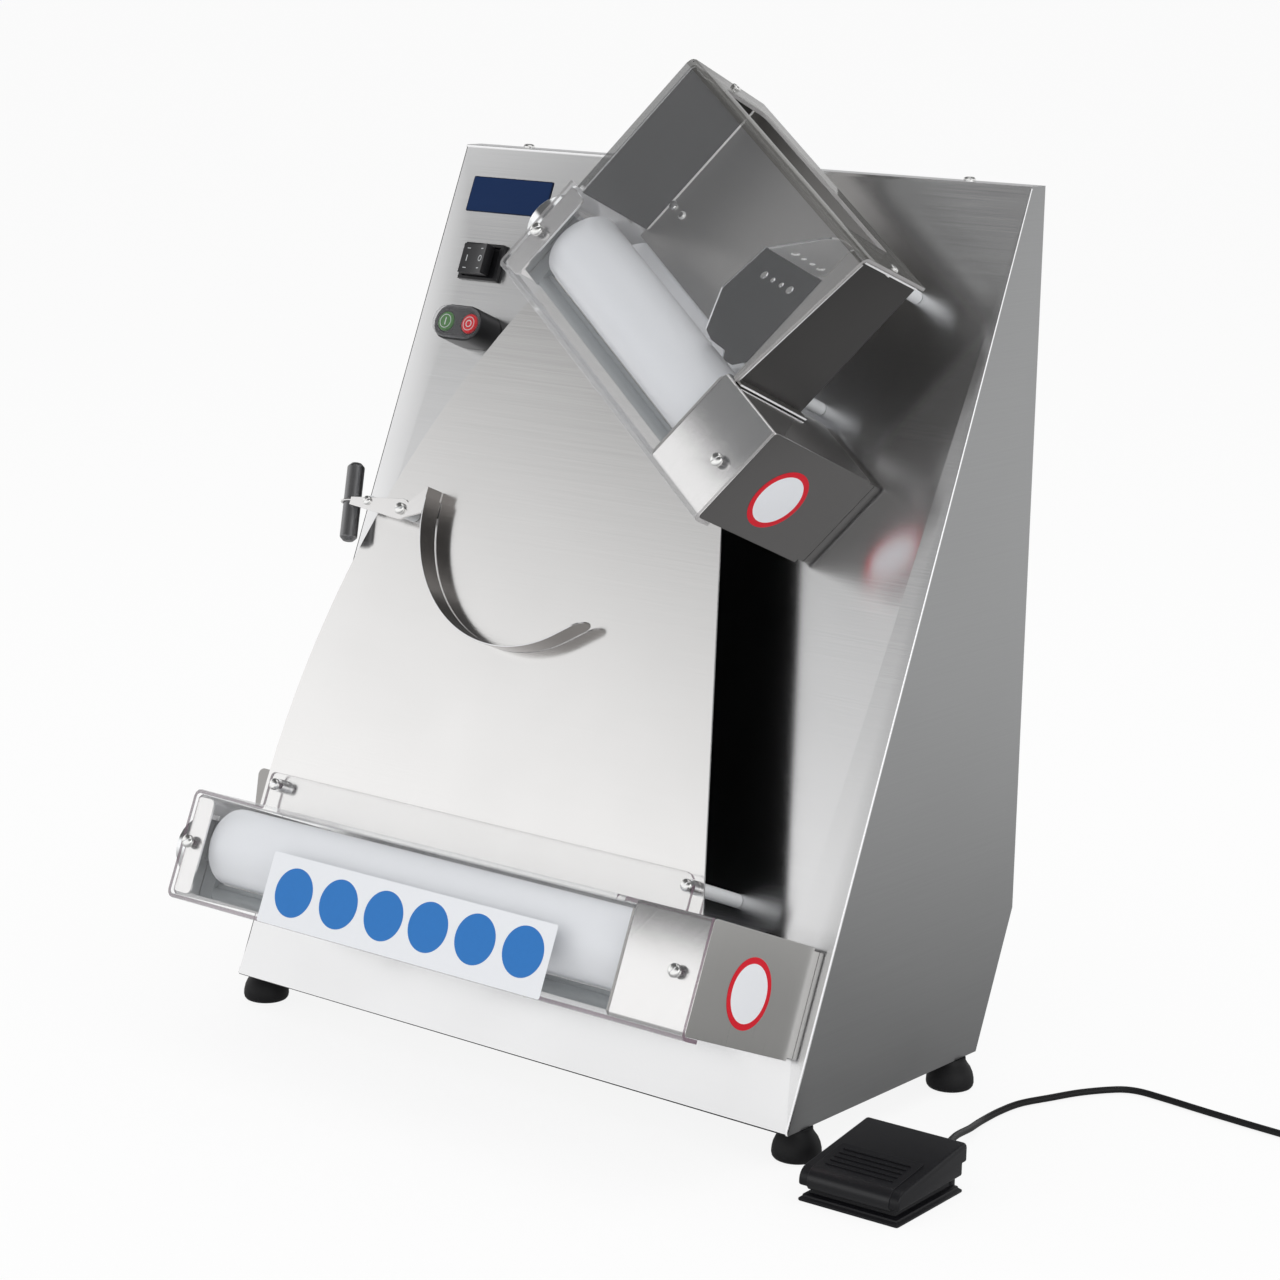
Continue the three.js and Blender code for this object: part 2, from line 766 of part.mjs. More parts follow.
add(panel, 'stop_button', button.clone(), redPlastic,
  [buttonsU + buttonPitch / 2, buttonsV, buttonFloor]);

// Drive inside the body
const pulleyProfile = (middle, radius) => [
  [radius, middle - pulleyWidth / 2], [pulleyPitch + pulleyRim, middle - pulleyWidth / 2],
  [pulleyPitch + pulleyRim, middle - grooveTop],
  [pulleyPitch - beltRadius - beltSeat, middle - grooveBottom],
  [pulleyPitch - beltRadius - beltSeat, middle + grooveBottom],
  [pulleyPitch + pulleyRim, middle + grooveTop],
  [pulleyPitch + pulleyRim, middle + pulleyWidth / 2], [radius, middle + pulleyWidth / 2],
];
const driveFrom = gearboxRight - driveSocket + clearance;
const driveTo = lowerPulley.x + pulleyWidth / 2 + shaftStub;
add(panel, 'drive_shaft', turnedX([
  [0, driveFrom], [shaftRadius, driveFrom], ...pulleyProfile(crossU, shaftRadius),
  ...pulleyProfile(lowerPulley.x, shaftRadius), [shaftRadius, driveTo], [0, driveTo],
], 14), castGrey, [0, drivePoint.y, drivePoint.z]);
const layFrom = layPoint.x - pulleyWidth / 2 - layEndReach;
const layTo = crossU + pulleyWidth / 2 + layEndReach;
add(panel, 'lay_shaft', turnedX([
  [0, layFrom], [shaftRadius, layFrom], ...pulleyProfile(layPoint.x, shaftRadius),
  ...pulleyProfile(crossU, shaftRadius), [shaftRadius, layTo], [0, layTo],
], 14), castGrey, [0, layPoint.y, layPoint.z]);
const bracketU = (layPoint.x + crossU) / 2;
const bracketBack = -sheet - clearance;
add(panel, 'lay_shaft_bracket', build([
  box([bracketU - bracketThick / 2, bracketU + bracketThick / 2],
    [layPoint.y - bracketFoot, layPoint.y + bracketFoot], [-layDepth - bracketReach, bracketBack]),
  box([bracketU - bracketThick / 2, crossU + bracketThick],
    [layPoint.y - bracketFoot, layPoint.y + bracketFoot], [bracketBack - bracketThick / 2, bracketBack]),
], [
  turnedX(rod(shaftRadius + clearance, [bracketU - bracketThick, bracketU + bracketThick]), 16)
    .translate(0, layPoint.y, layPoint.z),
  turnedZ(rod(beltHole, [bracketBack - bracketThick, 0]), 24)
    .translate(upperPulley.x, upperPulley.y, 0),
]), castGrey);

// Round belts: the rings of a torus are carried to their places round the two pulleys
function belt(first, firstUp, second, secondUp) {
  const along = second.clone().sub(first).normalize();
  const half = 10;
  const rings = [];
  for (const [centre, up, from] of [[second, secondUp, -Math.PI / 2], [first, firstUp, Math.PI / 2]]) {
    const across = along.clone().cross(up);
    for (let i = 0; i <= half; i += 1) {
      const angle = from + i / half * Math.PI;
      const out = along.clone().multiplyScalar(Math.cos(angle)).addScaledVector(up, Math.sin(angle));
      rings.push([centre.clone().addScaledVector(out, pulleyPitch), out, across]);
    }
  }
  const sides = 6;
  const geometry = new THREE.TorusGeometry(pulleyPitch, beltRadius, sides, rings.length);
  const position = geometry.getAttribute('position');
  for (let side = 0; side <= sides; side += 1) {
    const angle = side % sides / sides * Math.PI * 2;
    for (let ring = 0; ring <= rings.length; ring += 1) {
      const [middle, out, across] = rings[ring % rings.length];
      const point = middle.clone().addScaledVector(out, Math.cos(angle) * beltRadius)
        .addScaledVector(across, Math.sin(angle) * beltRadius);
      position.setXYZ(side * (rings.length + 1) + ring, point.x, point.y, point.z);
    }
  }
  return geometry;
}
const upperAcross = new THREE.Vector3(Math.sin(upperAngle), Math.cos(upperAngle), 0);
const crossFirst = new THREE.Vector3(crossU, drivePoint.y, drivePoint.z);
const crossSecond = new THREE.Vector3(crossU, layPoint.y, layPoint.z);
const crossUp = crossSecond.clone().sub(crossFirst).normalize().cross(xAxis);
add(panel, 'lower_belt', belt(drivePoint, yAxis, lowerPulley, yAxis), beltGreen);
add(panel, 'upper_belt', belt(layPoint, yAxis, upperPulley, upperAcross), beltGreen);
add(panel, 'cross_belt', belt(crossFirst, crossUp, crossSecond, crossUp), beltGreen);

const driveAt = drivePoint.clone().applyMatrix4(panelMatrix);
const motorFloor = floorPlate + sheet + clearance;
add(frame, 'gear_motor', build([
  turnedX(rod(motorRadius, [gearboxRight - gearboxLength - motorLength, gearboxRight - gearboxLength + overrun]), 24)
    .translate(0, driveAt.y, driveAt.z),
  box([gearboxRight - gearboxLength, gearboxRight], [driveAt.y - gearboxHalf, driveAt.y + gearboxHalf],
    [driveAt.z - gearboxHalf, driveAt.z + gearboxHalf]),
  box([gearboxRight - motorFootLength, gearboxRight],
    [driveAt.y - motorFootHalf, driveAt.y + motorFootHalf], [motorFloor, driveAt.z - motorRadius + overrun]),
], [
  turnedX(rod(shaftRadius + clearance, [gearboxRight - driveSocket, gearboxRight + overrun]), 16)
    .translate(0, driveAt.y, driveAt.z),
]), castGrey);

// Gears have straight-sided teeth with some backlash
function gear(low, turn) {
  const tip = pitchRadius + gearAddendum;
  const foot = pitchRadius - gearAddendum - gearTipGap;
  const step = Math.PI * 2 / gearTeeth;
  const outline = [];
  for (let tooth = 0; tooth < gearTeeth; tooth += 1) {
    for (const [out, share] of gearShares) {
      const angle = (tooth + share + turn) * step;
      const radius = out ? tip : foot;
      outline.push([Math.cos(angle) * radius, Math.sin(angle) * radius]);
    }
  }
  return slabX(outline, [low, low + gearWidth]);
}

// One roller unit. Its front roller rides in sliding blocks that the cam pin of the knob moves.
const faceScrew = screw(screwHead, screwHeadHeight, screwShank, guardThick + clearance * 2 + sheet);
function rollerUnit(name, group, length, plateTop, screwB, notched) {
  const left = -length + plateInset;
  const leftInner = left + plate;
  const blockLeft = leftInner + clearance;
  const rollLeft = blockLeft + blockThick + endPlay;
  const innerRight = -housingLength - clearance;
  const innerLeft = innerRight - plate;
  const rollRight = innerLeft - endPlay;
  const guideB = blockHalfHeight + clearance;
  const guideN = [frontN - blockBack - guideReach / 2, frontN + blockFront + guideReach];
  const guides = (from, to) => [
    box([from, to], [rollB + guideB, rollB + guideB + guideThick], guideN),
    box([from, to], [rollB - guideB - guideThick, rollB - guideB], [guideN[0], frontN - armGap]),
  ];
  const screwPlaces = [[left + leftScrewInset, screwB], [-housingScrewInset, screwB]];
  const endOutline = (top) => [
    [plateLow, clearance], [top, clearance], [top, faceN - bendInside], [top - bendInside, faceN],
    [plateLow + bendInside, faceN], [plateLow, faceN - bendInside],
  ];
  const screwAt = ([a, b]) => faceScrew.clone().translate(a, b, unitDepth + clearance);

  add(group, `${name}_left_plate`, build([
    slabX(endOutline(plateTop), [left, leftInner], [
      circle(rollB, rearN, shaftRadius + clearance), circle(knobB, knobN, stemRadius + clearance),
    ]),
    slabZ(roundRect([left, left + frontFlange], [plateLow + plate, plateTop - plate], flangeCorner),
      [faceN - plate, faceN]),
    box([left, left + rearFlange], [plateLow, plateTop], [clearance, clearance + plate]),
    ...guides(leftInner - plate / 2, leftInner + guideDepth),
    screwAt(screwPlaces[0]),
  ], [
    ...(notched ? [box([left - overrun, left + rearFlange], [0, chuteTopB + notchHalf],
      [chuteN - notchHalf, chuteFace + notchHalf])] : []),
  ]), stainless);

  const wallTop = unitHeight - sheet - clearance * 2;
  const wallLow = plateLow + sheet + clearance * 2;
  add(group, `${name}_bearing_bracket`, build([
    slabX(endOutline(unitHeight - guardThick - clearance), [innerLeft, innerRight], [
      circle(rollB, rearN, shaftRadius + clearance),
      [
        ...arc([rollB, frontN + rollTravel], shaftRadius + clearance * 2, 0, Math.PI, 8),
        ...arc([rollB, frontN], shaftRadius + clearance * 2, Math.PI, Math.PI * 2, 8),
      ],
      [
        ...arc([tieB, tieN + rollTravel], tieRadius + clearance * 2, 0, Math.PI, 6),
        ...arc([tieB, tieN], tieRadius + clearance * 2, Math.PI, Math.PI * 2, 6),
      ],
    ]),
    slabZ(rect([innerLeft, -rimInset - plate / 2], [plateLow + rimInset, wallTop]), [clearance, clearance + plate],
      [circle(-pulleyInset, rollB, beltHole, 24)]),
    box([-rimInset - plate, -rimInset], [wallLow, wallTop], [clearance, rimHeight + rimGrip]),
    box([innerLeft, -rimInset], [wallTop - plate, wallTop], [clearance, rimHeight + rimGrip]),
    box([innerLeft, -rimInset], [wallLow, wallLow + plate], [clearance, rimHeight + rimGrip]),
    ...guides(innerRight - plate / 2, innerRight + rightGuideDepth),
  ]), stainless);

  add(group, `${name}_gear_housing`, build([
    build([slabX([
      [plateLow, rimHeight], [unitHeight, rimHeight],
      ...arc([unitHeight - bendInside, faceN - bendInside], bendInside, 0, quarter, bendSteps),
      ...arc([plateLow + bendInside, faceN - bendInside], bendInside, quarter, quarter * 2, bendSteps),
    ], [-housingLength, 0])], [
      box([-housingLength - overrun, -sheet], [plateLow + sheet, unitHeight - sheet],
        [rimHeight - overrun, faceN - sheet]),
    ]),
    screwAt(screwPlaces[1]),
  ]), stainless);

  const sleeve = [
    [shaftRadius + clearance, rollLeft], [rollRadius - rollEdge, rollLeft],
    [rollRadius, rollLeft + rollEdge], [rollRadius, rollRight - rollEdge],
    [rollRadius - rollEdge, rollRight], [shaftRadius + clearance, rollRight],
    [shaftRadius + clearance, rollLeft],
  ];
  const rearFrom = left + clearance;
  const rearTo = -pulleyInset + pulleyWidth / 2 + shaftStub;
  const frontFrom = blockLeft + endPlay;
  const frontTo = -gearInset + shaftStub / 2;
  add(group, `${name}_rear_roller`, turnedX(sleeve, 28), whitePlastic, [0, rollB, rearN]);
  add(group, `${name}_rear_shaft`, build([
    turnedX([
      [0, rearFrom], [shaftRadius, rearFrom], ...pulleyProfile(-pulleyInset, shaftRadius),
      [shaftRadius, rearTo], [0, rearTo],
    ], 14),
    gear(-gearInset - gearWidth, 0),
  ]), brightSteel, [0, rollB, rearN]);
  add(group, `${name}_front_roller`, turnedX(sleeve, 28), whitePlastic, [0, rollB, frontN]);
  add(group, `${name}_front_shaft`, build([
    turnedX(rod(shaftRadius, [frontFrom, frontTo]), 16),
    gear(-gearInset - gearWidth, 1 / 2),
  ]), brightSteel, [0, rollB, frontN]);

  // Both bearing blocks hang on one tie rod, which carries the front roller's scraper blade
  const slotN = knobN - camOffset;
  const pinRoom = pinRadius + slotPlay;
  const shaftHole = circle(rollB, frontN, shaftRadius + clearance);
  const blockB = [rollB - blockHalfHeight, rollB + blockHalfHeight];
  const rightBlock = [innerRight + clearance, innerRight + rightBlockThick];
  const leftBlock = [blockLeft, blockLeft + blockThick];
  const arms = [leftBlock, rightBlock].map((range) => box(range, [tieB - tieRadius, blockB[0] + plate],
    [frontN, tieN + tieRadius]));
  add(group, `${name}_carriage`, build([
    slabX(rect(blockB, [frontN - blockBack, frontN + blockFront]), leftBlock, [
      shaftHole,
      rect([knobB - pinRoom - camOffset, knobB + pinRoom + camOffset], [slotN - pinRoom, slotN + pinRoom]),
    ]),
    slabX(rect(blockB, [frontN - blockFront, frontN + blockFront]), rightBlock, [shaftHole]),
    ...arms,
    turnedX(rod(tieRadius, [leftBlock[0], rightBlock[1]]), 12).translate(0, tieB, tieN),
    box([rollLeft, rollRight], [tieB, rollB - rollRadius - bladeGap],
      [tieN - bladeThick / 2, tieN + bladeThick / 2]),
  ]), castGrey);

  const knobTo = left - knobStand;
  const knobFrom = knobTo - knobLength;
  add(group, `${name}_gap_knob`, build([
    turnedX([
      [0, knobFrom], [knobRadius - knobEdge, knobFrom], [knobRadius, knobFrom + knobEdge],
      [knobRadius, knobTo - knobEdge], [knobRadius - knobEdge, knobTo], [stemRadius, knobTo],
      [stemRadius, leftInner], [0, leftInner],
    ], 28),
    turnedX(rod(pinRadius, [leftInner - plate / 2, blockLeft + pinReach]), 10).translate(0, 0, -camOffset),
  ]), aluminium, [0, knobB, knobN]);
}
rollerUnit('lower', lower, lowerLength, unitHeight - guardThick - clearance, lowerScrewB, false);
rollerUnit('upper', upper, upperLength, upperPlateTop, upperScrewB, true);

// Guards: bent clear sheet, outlines in b and n
const bendOutside = bendInside + guardThick;
const bendMiddle = unitDepth - bendOutside;
const guardHoles = (length, screwB) => [
  [-length + plateInset + leftScrewInset, screwB], [-housingScrewInset, screwB],
].map(([a, b]) => turnedZ(rod(screwHole, [faceN, unitDepth + overrun]), screwSides).translate(a, b, 0));
const frontBend = (top) => [
  [0, unitDepth - guardFlange], ...arc([bendOutside, bendMiddle], bendOutside, quarter * 2, quarter, bendSteps),
  [top, unitDepth], [top, unitDepth - guardThick],
  ...arc([bendOutside, bendMiddle], bendInside, quarter, quarter * 2, bendSteps),
  [guardThick, unitDepth - guardFlange],
];
const roofB = unitHeight - bendOutside;
const lipMiddle = [unitHeight + bendInside, lipFront + bendInside];
const lowerBend = [
  [0, unitDepth - guardFlange], ...arc([bendOutside, bendMiddle], bendOutside, quarter * 2, quarter, bendSteps),
  ...arc([roofB, bendMiddle], bendOutside, quarter, 0, bendSteps),
  ...arc(lipMiddle, bendInside, quarter * 2, quarter * 3, bendSteps),
  [unitHeight + bendOutside, lipFront], [unitHeight + bendOutside, lipFront - guardThick],
  ...arc(lipMiddle, bendOutside, quarter * 3, quarter * 2, bendSteps),
  ...arc([roofB, bendMiddle], bendInside, 0, quarter, bendSteps),
  ...arc([bendOutside, bendMiddle], bendInside, quarter, quarter * 2, bendSteps),
  [guardThick, unitDepth - guardFlange],
];
const lipOutline = [
  [-lowerLength, lipMiddle[0]], [-lipMarginRight, lipMiddle[0]],
  ...arc([-lipMarginRight - lipCorner, lipB - lipCorner], lipCorner, 0, quarter, bendSteps),
  ...arc([-lowerLength + lipCorner / 2, lipB - lipCorner / 2], lipCorner / 2, quarter, quarter * 2, bendSteps),
];
add(lower, 'lower_guard', build([
  slabX(lowerBend, [-lowerLength, -lipMarginRight]),
  slabX(frontBend(unitHeight), [-lipMarginRight - overrun, 0]),
  slabZ(lipOutline, [lipFront - guardThick, lipFront]),
], [
  ...guardHoles(lowerLength, lowerScrewB),
  ...[-lowerLength + lipScrewLeft, -lipMarginRight - lipScrewRight].map((a) => turnedZ(
    rod(screwHole, [lipFront - guardThick - overrun, lipFront + overrun]), screwSides).translate(a, lipScrewB, 0)),
]), clearPlastic);

const hoodB = hopperTop - bendOutside;
const hoodBend = [
  [unitHeight, unitDepth], ...arc([hoodB, bendMiddle], bendOutside, quarter, 0, bendSteps),
  [hopperTop, topPlateBack], [hopperTop - guardThick, topPlateBack],
  ...arc([hoodB, bendMiddle], bendInside, 0, quarter, bendSteps), [unitHeight, unitDepth - guardThick],
];
const hoodLeft = -upperLength + hopperInset;
add(upper, 'upper_guard', build([
  build([slabX(hoodBend, [hoodLeft, 0])], [
    slabZ([
      [-hopperRightLowA, unitHeight], [-hopperRightTopA, hopperTop], [-hopperRightTopA, hopperTop + overrun],
      [overrun, hopperTop + overrun], [overrun, unitHeight - overrun], [-hopperRightLowA, unitHeight - overrun],
    ], [bendMiddle - clearance, unitDepth + overrun]),
    slabY([
      [unitDepth, -hopperRightTopA], [topPlateBack, -hopperRightBackA], [topPlateBack - overrun, -hopperRightBackA],
      [topPlateBack - overrun, overrun], [unitDepth, overrun],
    ], [hoodB - overrun, hopperTop + overrun]),
    slabY(roundRect([feedBack, feedFront], [feedInset - upperLength, -feedRight], feedCorner),
      [hopperTop - guardThick - overrun, hopperTop + overrun]),
    ...[-topScrewLeftA, -topScrewRightA].map((a) => turnedY(
      rod(screwHole, [hopperTop - overrun, hopperTop + overrun]), screwSides).translate(a, 0, topScrewN)),
  ]),
  slabX(frontBend(unitHeight), [-upperLength, 0]),
  box([hoodLeft, hoodLeft + guardThick], [unitHeight + guardThick, hopperTop - guardThick / 2],
    [unitDepth - guardSideFlange, unitDepth - guardThick / 2]),
], guardHoles(upperLength, upperScrewB)), clearPlastic);

// Hopper: back and left wall in one sheet, right wall with outward flanges, and a guide plate
const studHole = (range) => (x, y) => turnedZ(rod(screwHole, range), screwSides).translate(x, y, 0);
const hopperHole = studHole([hopperBackN - overrun, hopperBackN + sheet + overrun]);
const tabScrews = [guideTabLow + guideTab / 2, guideTabHigh - guideTab / 2].map((b) => [-guideA - guideTab / 2, b]);
const hopperFrontN = unitDepth - guardThick - clearance;
const shortScrew = screw(smallHead, smallHeadHeight, smallShank, sheet / 2);
const hoodScrew = screw(smallHead, smallHeadHeight, smallShank, guardThick + clearance * 2 + sheet * 2)
  .applyMatrix4(turnToY);
const hoodScrewAt = (a) => hoodScrew.clone().translate(a, hopperTop + clearance, topScrewN);
const wallOutline = (low) => [
  [low, hopperBackN], [hopperRoof, hopperBackN], [hopperRoof, bendMiddle], [hoodB, hopperFrontN],
  [low, hopperFrontN],
];
add(upper, 'hopper_shell', build([
  slabX(wallOutline(hopperLeftLow), [hopperLeftA, hopperLeftA + sheet]),
  box([hopperLeftA, -hopperSideA - sheet - clearance], [hopperBackLow, hopperRoof],
    [hopperBackN, hopperBackN + sheet]),
  box([hopperLeftA, hopperLeftA + hopperTopFlange], [hopperRoof - sheet, hopperRoof], [hopperBackN, bendMiddle]),
  ...hopperStuds.map(([a, b]) => shortScrew.clone().translate(a, b, hopperBackN + sheet)),
  hoodScrewAt(-topScrewLeftA),
], [
  ...tabScrews.map(([a, b]) => hopperHole(a, b)),
  box([-housingLength - plate * 2, 0], [hopperBackLow - overrun, hopperSideLow],
    [hopperBackN - overrun, hopperBackN + sheet + overrun]),
]), stainless);
const rightAt = (b) => -hopperRightLowA
  + (hopperRightLowA - hopperRightTopA) * (b - unitHeight) / (hopperTop - unitHeight);
add(upper, 'hopper_side_wall', build([
  slabX(wallOutline(hopperSideLow), [-hopperSideA - sheet, -hopperSideA]),
  slabZ([
    [-hopperSideA - sheet, hopperSideLow], [rightAt(hopperSideLow), hopperSideLow],
    [rightAt(hoodB), hoodB], [-hopperSideA - sheet, hoodB],
  ], [hopperFrontN - sheet, hopperFrontN]),
  slabY([
    [hopperBackN, -hopperSideA - sheet], [bendMiddle, -hopperSideA - sheet],
    [bendMiddle, -hopperRightTopA - sheet], [hopperBackN, -hopperRightBackA + sheet / 2],
  ], [hopperRoof - sheet, hopperRoof]),
  box([-hopperSideA - sheet, -hopperSideA + hopperFoot], [hopperSideLow, hopperSideLow + sheet],
    [hopperBackN, hopperFrontN]),
  hoodScrewAt(-topScrewRightA),
]), stainless);

const guideN = guideCutShares.map((share) => share * guideCutN);
const guideBack = hopperBackN + sheet + clearance;
const guideOutline = [
  [guideBend, guideBack], [hopperBackLow + plate, guideBack], [hopperBackLow - guideTip, guideN[0]],
  [hopperBackLow - guideTip, guideN[1]], [hopperBackLow + plate, guideN[2]],
  [hopperBackLow + plate * 2, guideN[3]], [hopperBackLow + guideRise, guideN[4]],
  [guideBend - guideChin, guideN[5]], [guideBend, guideN[6]],
];
const flareSpan = guideFlareTop - guideBend;
const flareLean = Math.atan2(guideFlare, flareSpan);
const flareLength = Math.hypot(guideFlare, flareSpan);
const holeRow = [0, 1, 2, 3].map((i) => [guideHolesN + i * guideHolePitch, i % 3 ? guideHoleRadius : guideBoltRadius]);
const flare = slabX([
  [-sheet / 2, flareBackN], [flareLength, flareBackN],
  ...arc([flareLength - guideCorner, guideTopN - guideCorner], guideCorner, 0, quarter, bendSteps),
  [-sheet / 2, guideTopN],
], [-sheet / 2, sheet / 2], holeRow.map(([n, radius]) => circle(guideFlareHoles, n, radius, 8)));
flare.rotateZ(-flareLean).translate(-guideA + sheet / 2, guideBend, 0);
const tabFront = hopperBackN + sheet * 2 + clearance;
add(upper, 'hopper_guide', build([
  slabX(guideOutline, [-guideA, -guideA + sheet], holeRow.map(([n, radius]) => circle(guideHolesB, n, radius, 8))),
  flare,
  box([-guideA - guideTab, -guideA + sheet / 2], [guideTabLow, guideTabHigh],
    [hopperBackN + sheet + clearance, tabFront]),
  ...tabScrews.map(([a, b]) => screw(smallHead, smallHeadHeight, smallShank, sheet * 2 + clearance)
    .translate(a, b, tabFront)),
]), stainless);

// Chute between the units, on standoffs
const chuteOutline = [
  [bodyWidth / 2 - chuteRightMargin, chuteLow], upperPoint(-chuteShoulderA, chuteShoulderB),
  upperPoint(-chuteTopRightA, chuteShoulderB), upperPoint(-chuteTopRightA, chuteTopB), chuteTopLeft,
];
chuteOutline.push(...arc(chuteArcMiddle, chuteArcRadius, chuteArcFrom, chuteArcFrom + halfTurn * 2,
  chuteArcSteps).slice(1));
add(panel, 'chute_plate', build([
  slabZ(chuteOutline, [chuteN, chuteFace], [circle(catchU, catchV, screwHole, screwSides)]),
  ...lipScrews.flatMap((stud) => [
    turnedZ(rod(standoffRadius, [chuteFace - sheet / 2, lipFront - guardThick - clearance]), 12)
      .translate(stud.x, stud.y, 0),
    screw(screwHead, screwHeadHeight, screwShank, guardThick + clearance * 2 + sheet)
      .translate(stud.x, stud.y, lipFront + clearance),
  ]),
  shortScrew.clone().translate(chuteStud.x, chuteStud.y, chuteFace),
]), stainless);
for (const [stud, name] of [
  [chuteStuds[0], 'chute_standoff_left'], [chuteStuds[1], 'chute_standoff_right'],
  [chuteStuds[2], 'chute_standoff_top'],
]) {
  add(panel, name, turnedZ(rod(standoffRadius, [clearance, chuteN - clearance]), 12), whitePlastic,
    [stud.x, stud.y, 0]);
}
for (const [[a, b], name] of [
  [hopperStuds[0], 'hopper_standoff_left'], [hopperStuds[1], 'hopper_standoff_top'],
  [hopperStuds[2], 'hopper_standoff_low'],
]) {
  add(upper, name, turnedZ(rod(standoffRadius, [clearance, hopperBackN - clearance]), 12), whitePlastic,
    [a, b, 0]);
}

// Turning flap: pivot boss, arm, curved strip, clamped counterweight
const bossTop = chuteFace + clearance + catchBossLength;
const armLow = bossTop + clearance;
const armHigh = armLow + catchPlate;
add(panel, 'catch_pivot', turnedZ([
  [0, chuteN], [screwShank, chuteN], [screwShank, chuteFace + clearance],
  [catchBossRadius, chuteFace + clearance], [catchBossRadius, bossTop], [screwShank, bossTop],
  [screwShank, armHigh + clearance], [screwHead, armHigh + clearance],
  [screwHead, armHigh + clearance + screwHeadHeight / 2],
  [screwHead * screwDomeShare, armHigh + screwHeadHeight], [0, armHigh + screwHeadHeight],
], 14), brightSteel, [catchU, catchV, 0]);

const tabU = stripStartU - stripThick / 2 - clearance;
const tabV = [stripStartV - tabDrop, stripStartV + tabRise];
const ring = new THREE.TorusGeometry(weightRadius + ringWire + clearance, ringWire, 6, 20)
  .rotateX(Math.PI / 2).rotateZ(weightLean).translate(-weightOut, 0, weightN);
add(panel, 'catch_arm', build([
  slabZ([
    ...arc([0, 0], catchHubRadius, -quarter, -quarter / 2, 2), [tabU, tabV[0]], [tabU, tabV[1]],
    ...arc([0, 0], catchHubRadius, quarter / 2, quarter, 2),
    [-armTip, armTipHalf], [-armTip, -armTipHalf],
  ], [armLow, armHigh], [circle(0, 0, screwShank + clearance, 10)]),
  box([tabU - tabThick, tabU], tabV, [stripLow, armHigh]),
  ring,
  screw(smallHead, smallHeadHeight, smallShank, sheet / 2).translate(-clampOut, clampUp, armHigh),
]), stainless, [catchU, catchV, 0]);

const stripOutline = [];
const stripEnd = Math.PI + catchSweep;
const stripInner = stripRadius - stripThick / 2;
const stripOuter = stripRadius + stripThick / 2;
const stripMiddle = [stripStartU + stripRadius, stripStartV];
const tail = [Math.cos(stripEnd + quarter) * stripTail, Math.sin(stripEnd + quarter) * stripTail];
stripOutline.push(...arc(stripMiddle, stripOuter, Math.PI, stripEnd, stripSteps));
const [outerEnd] = stripOutline.slice(-1);
stripOutline.push([outerEnd[0] + tail[0], outerEnd[1] + tail[1]]);
const back = arc(stripMiddle, stripInner, stripEnd, Math.PI, stripSteps);
stripOutline.push([back[0][0] + tail[0], back[0][1] + tail[1]], ...back);
add(panel, 'catch_strip', slabZ(stripOutline, [stripLow, stripLow + stripWidth]), stainless,
  [catchU, catchV, 0]);
const weight = turnedZ([
  [0, -weightLength / 2], [weightRadius - weightEdge, -weightLength / 2],
  [weightRadius, -weightLength / 2 + weightEdge], [weightRadius, weightLength / 2 - weightEdge],
  [weightRadius - weightEdge, weightLength / 2], [0, weightLength / 2],
], 16).rotateX(-Math.PI / 2);
const weightMesh = add(panel, 'catch_counterweight', weight, castGrey,
  [catchU - weightOut, catchV, weightN]);
weightMesh.rotation.z = weightLean;

// Gland and pedal socket on the back
add(frame, 'mains_gland', turnedY([
  [0, -overrun], [glandNeck, -overrun], [glandNeck, clearance], [glandNutRadius, clearance],
  [glandNutRadius, clearance + glandNut], [glandRadius, clearance + glandNut],
  [glandRadius, glandLength], [glandNeck, glandLength + glandNut], [0, glandLength + glandNut],
], 12), blackPlastic, [-glandU, bodyDepth, glandZ]);
add(frame, 'pedal_socket', turnedY([
  [0, -overrun], [socketBore, -overrun], [socketBore, clearance], [socketFlange, clearance],
  [socketFlange, clearance + plate], [socketRadius, clearance + plate], [socketRadius, socketLength],
  [socketBore, socketLength], [socketBore, clearance + plate], [0, clearance + plate],
], 20), blackPlastic, [glandU, bodyDepth, glandZ]);

// Foot pedal on the floor
const pedal = new THREE.Group();
pedal.position.set(pedalX, pedalY, -footHeight);
pedal.rotation.z = pedalYaw;
frame.add(pedal);
const pedalHalf = pedalWidth / 2;
const pedalBack = pedalLength / 2;
const pedalOutline = [
  ...arc([pedalHalf - pedalHeelCorner, pedalBack - pedalHeelCorner], pedalHeelCorner, 0, quarter, 3),
  ...arc([pedalHeelCorner - pedalHalf, pedalBack - pedalHeelCorner], pedalHeelCorner, quarter, quarter * 2, 3),
  ...arc([pedalNose - pedalHalf, pedalNose - pedalBack], pedalNose, quarter * 2, quarter * 3, 5),
  ...arc([pedalHalf - pedalNose, pedalNose - pedalBack], pedalNose, quarter * 3, quarter * 4, 5),
];
const wallBack = pedalBack - treadleInset;
const wallFront = wallBack - heelWall;
const treadleHalf = pedalHalf - treadleInset;
const innerTreadle = treadleHalf - treadleWall;
const earOut = innerTreadle - clearance;
const ears = [-1, 1].map((side) => box(
  side < 0 ? [-earOut, -earOut + pedalEarThick] : [earOut - pedalEarThick, earOut],
  [pedalPinBack - pedalEarHalf, wallFront + clearance], [pedalLip - clearance, pedalPinHigh + pedalEarRise],
));
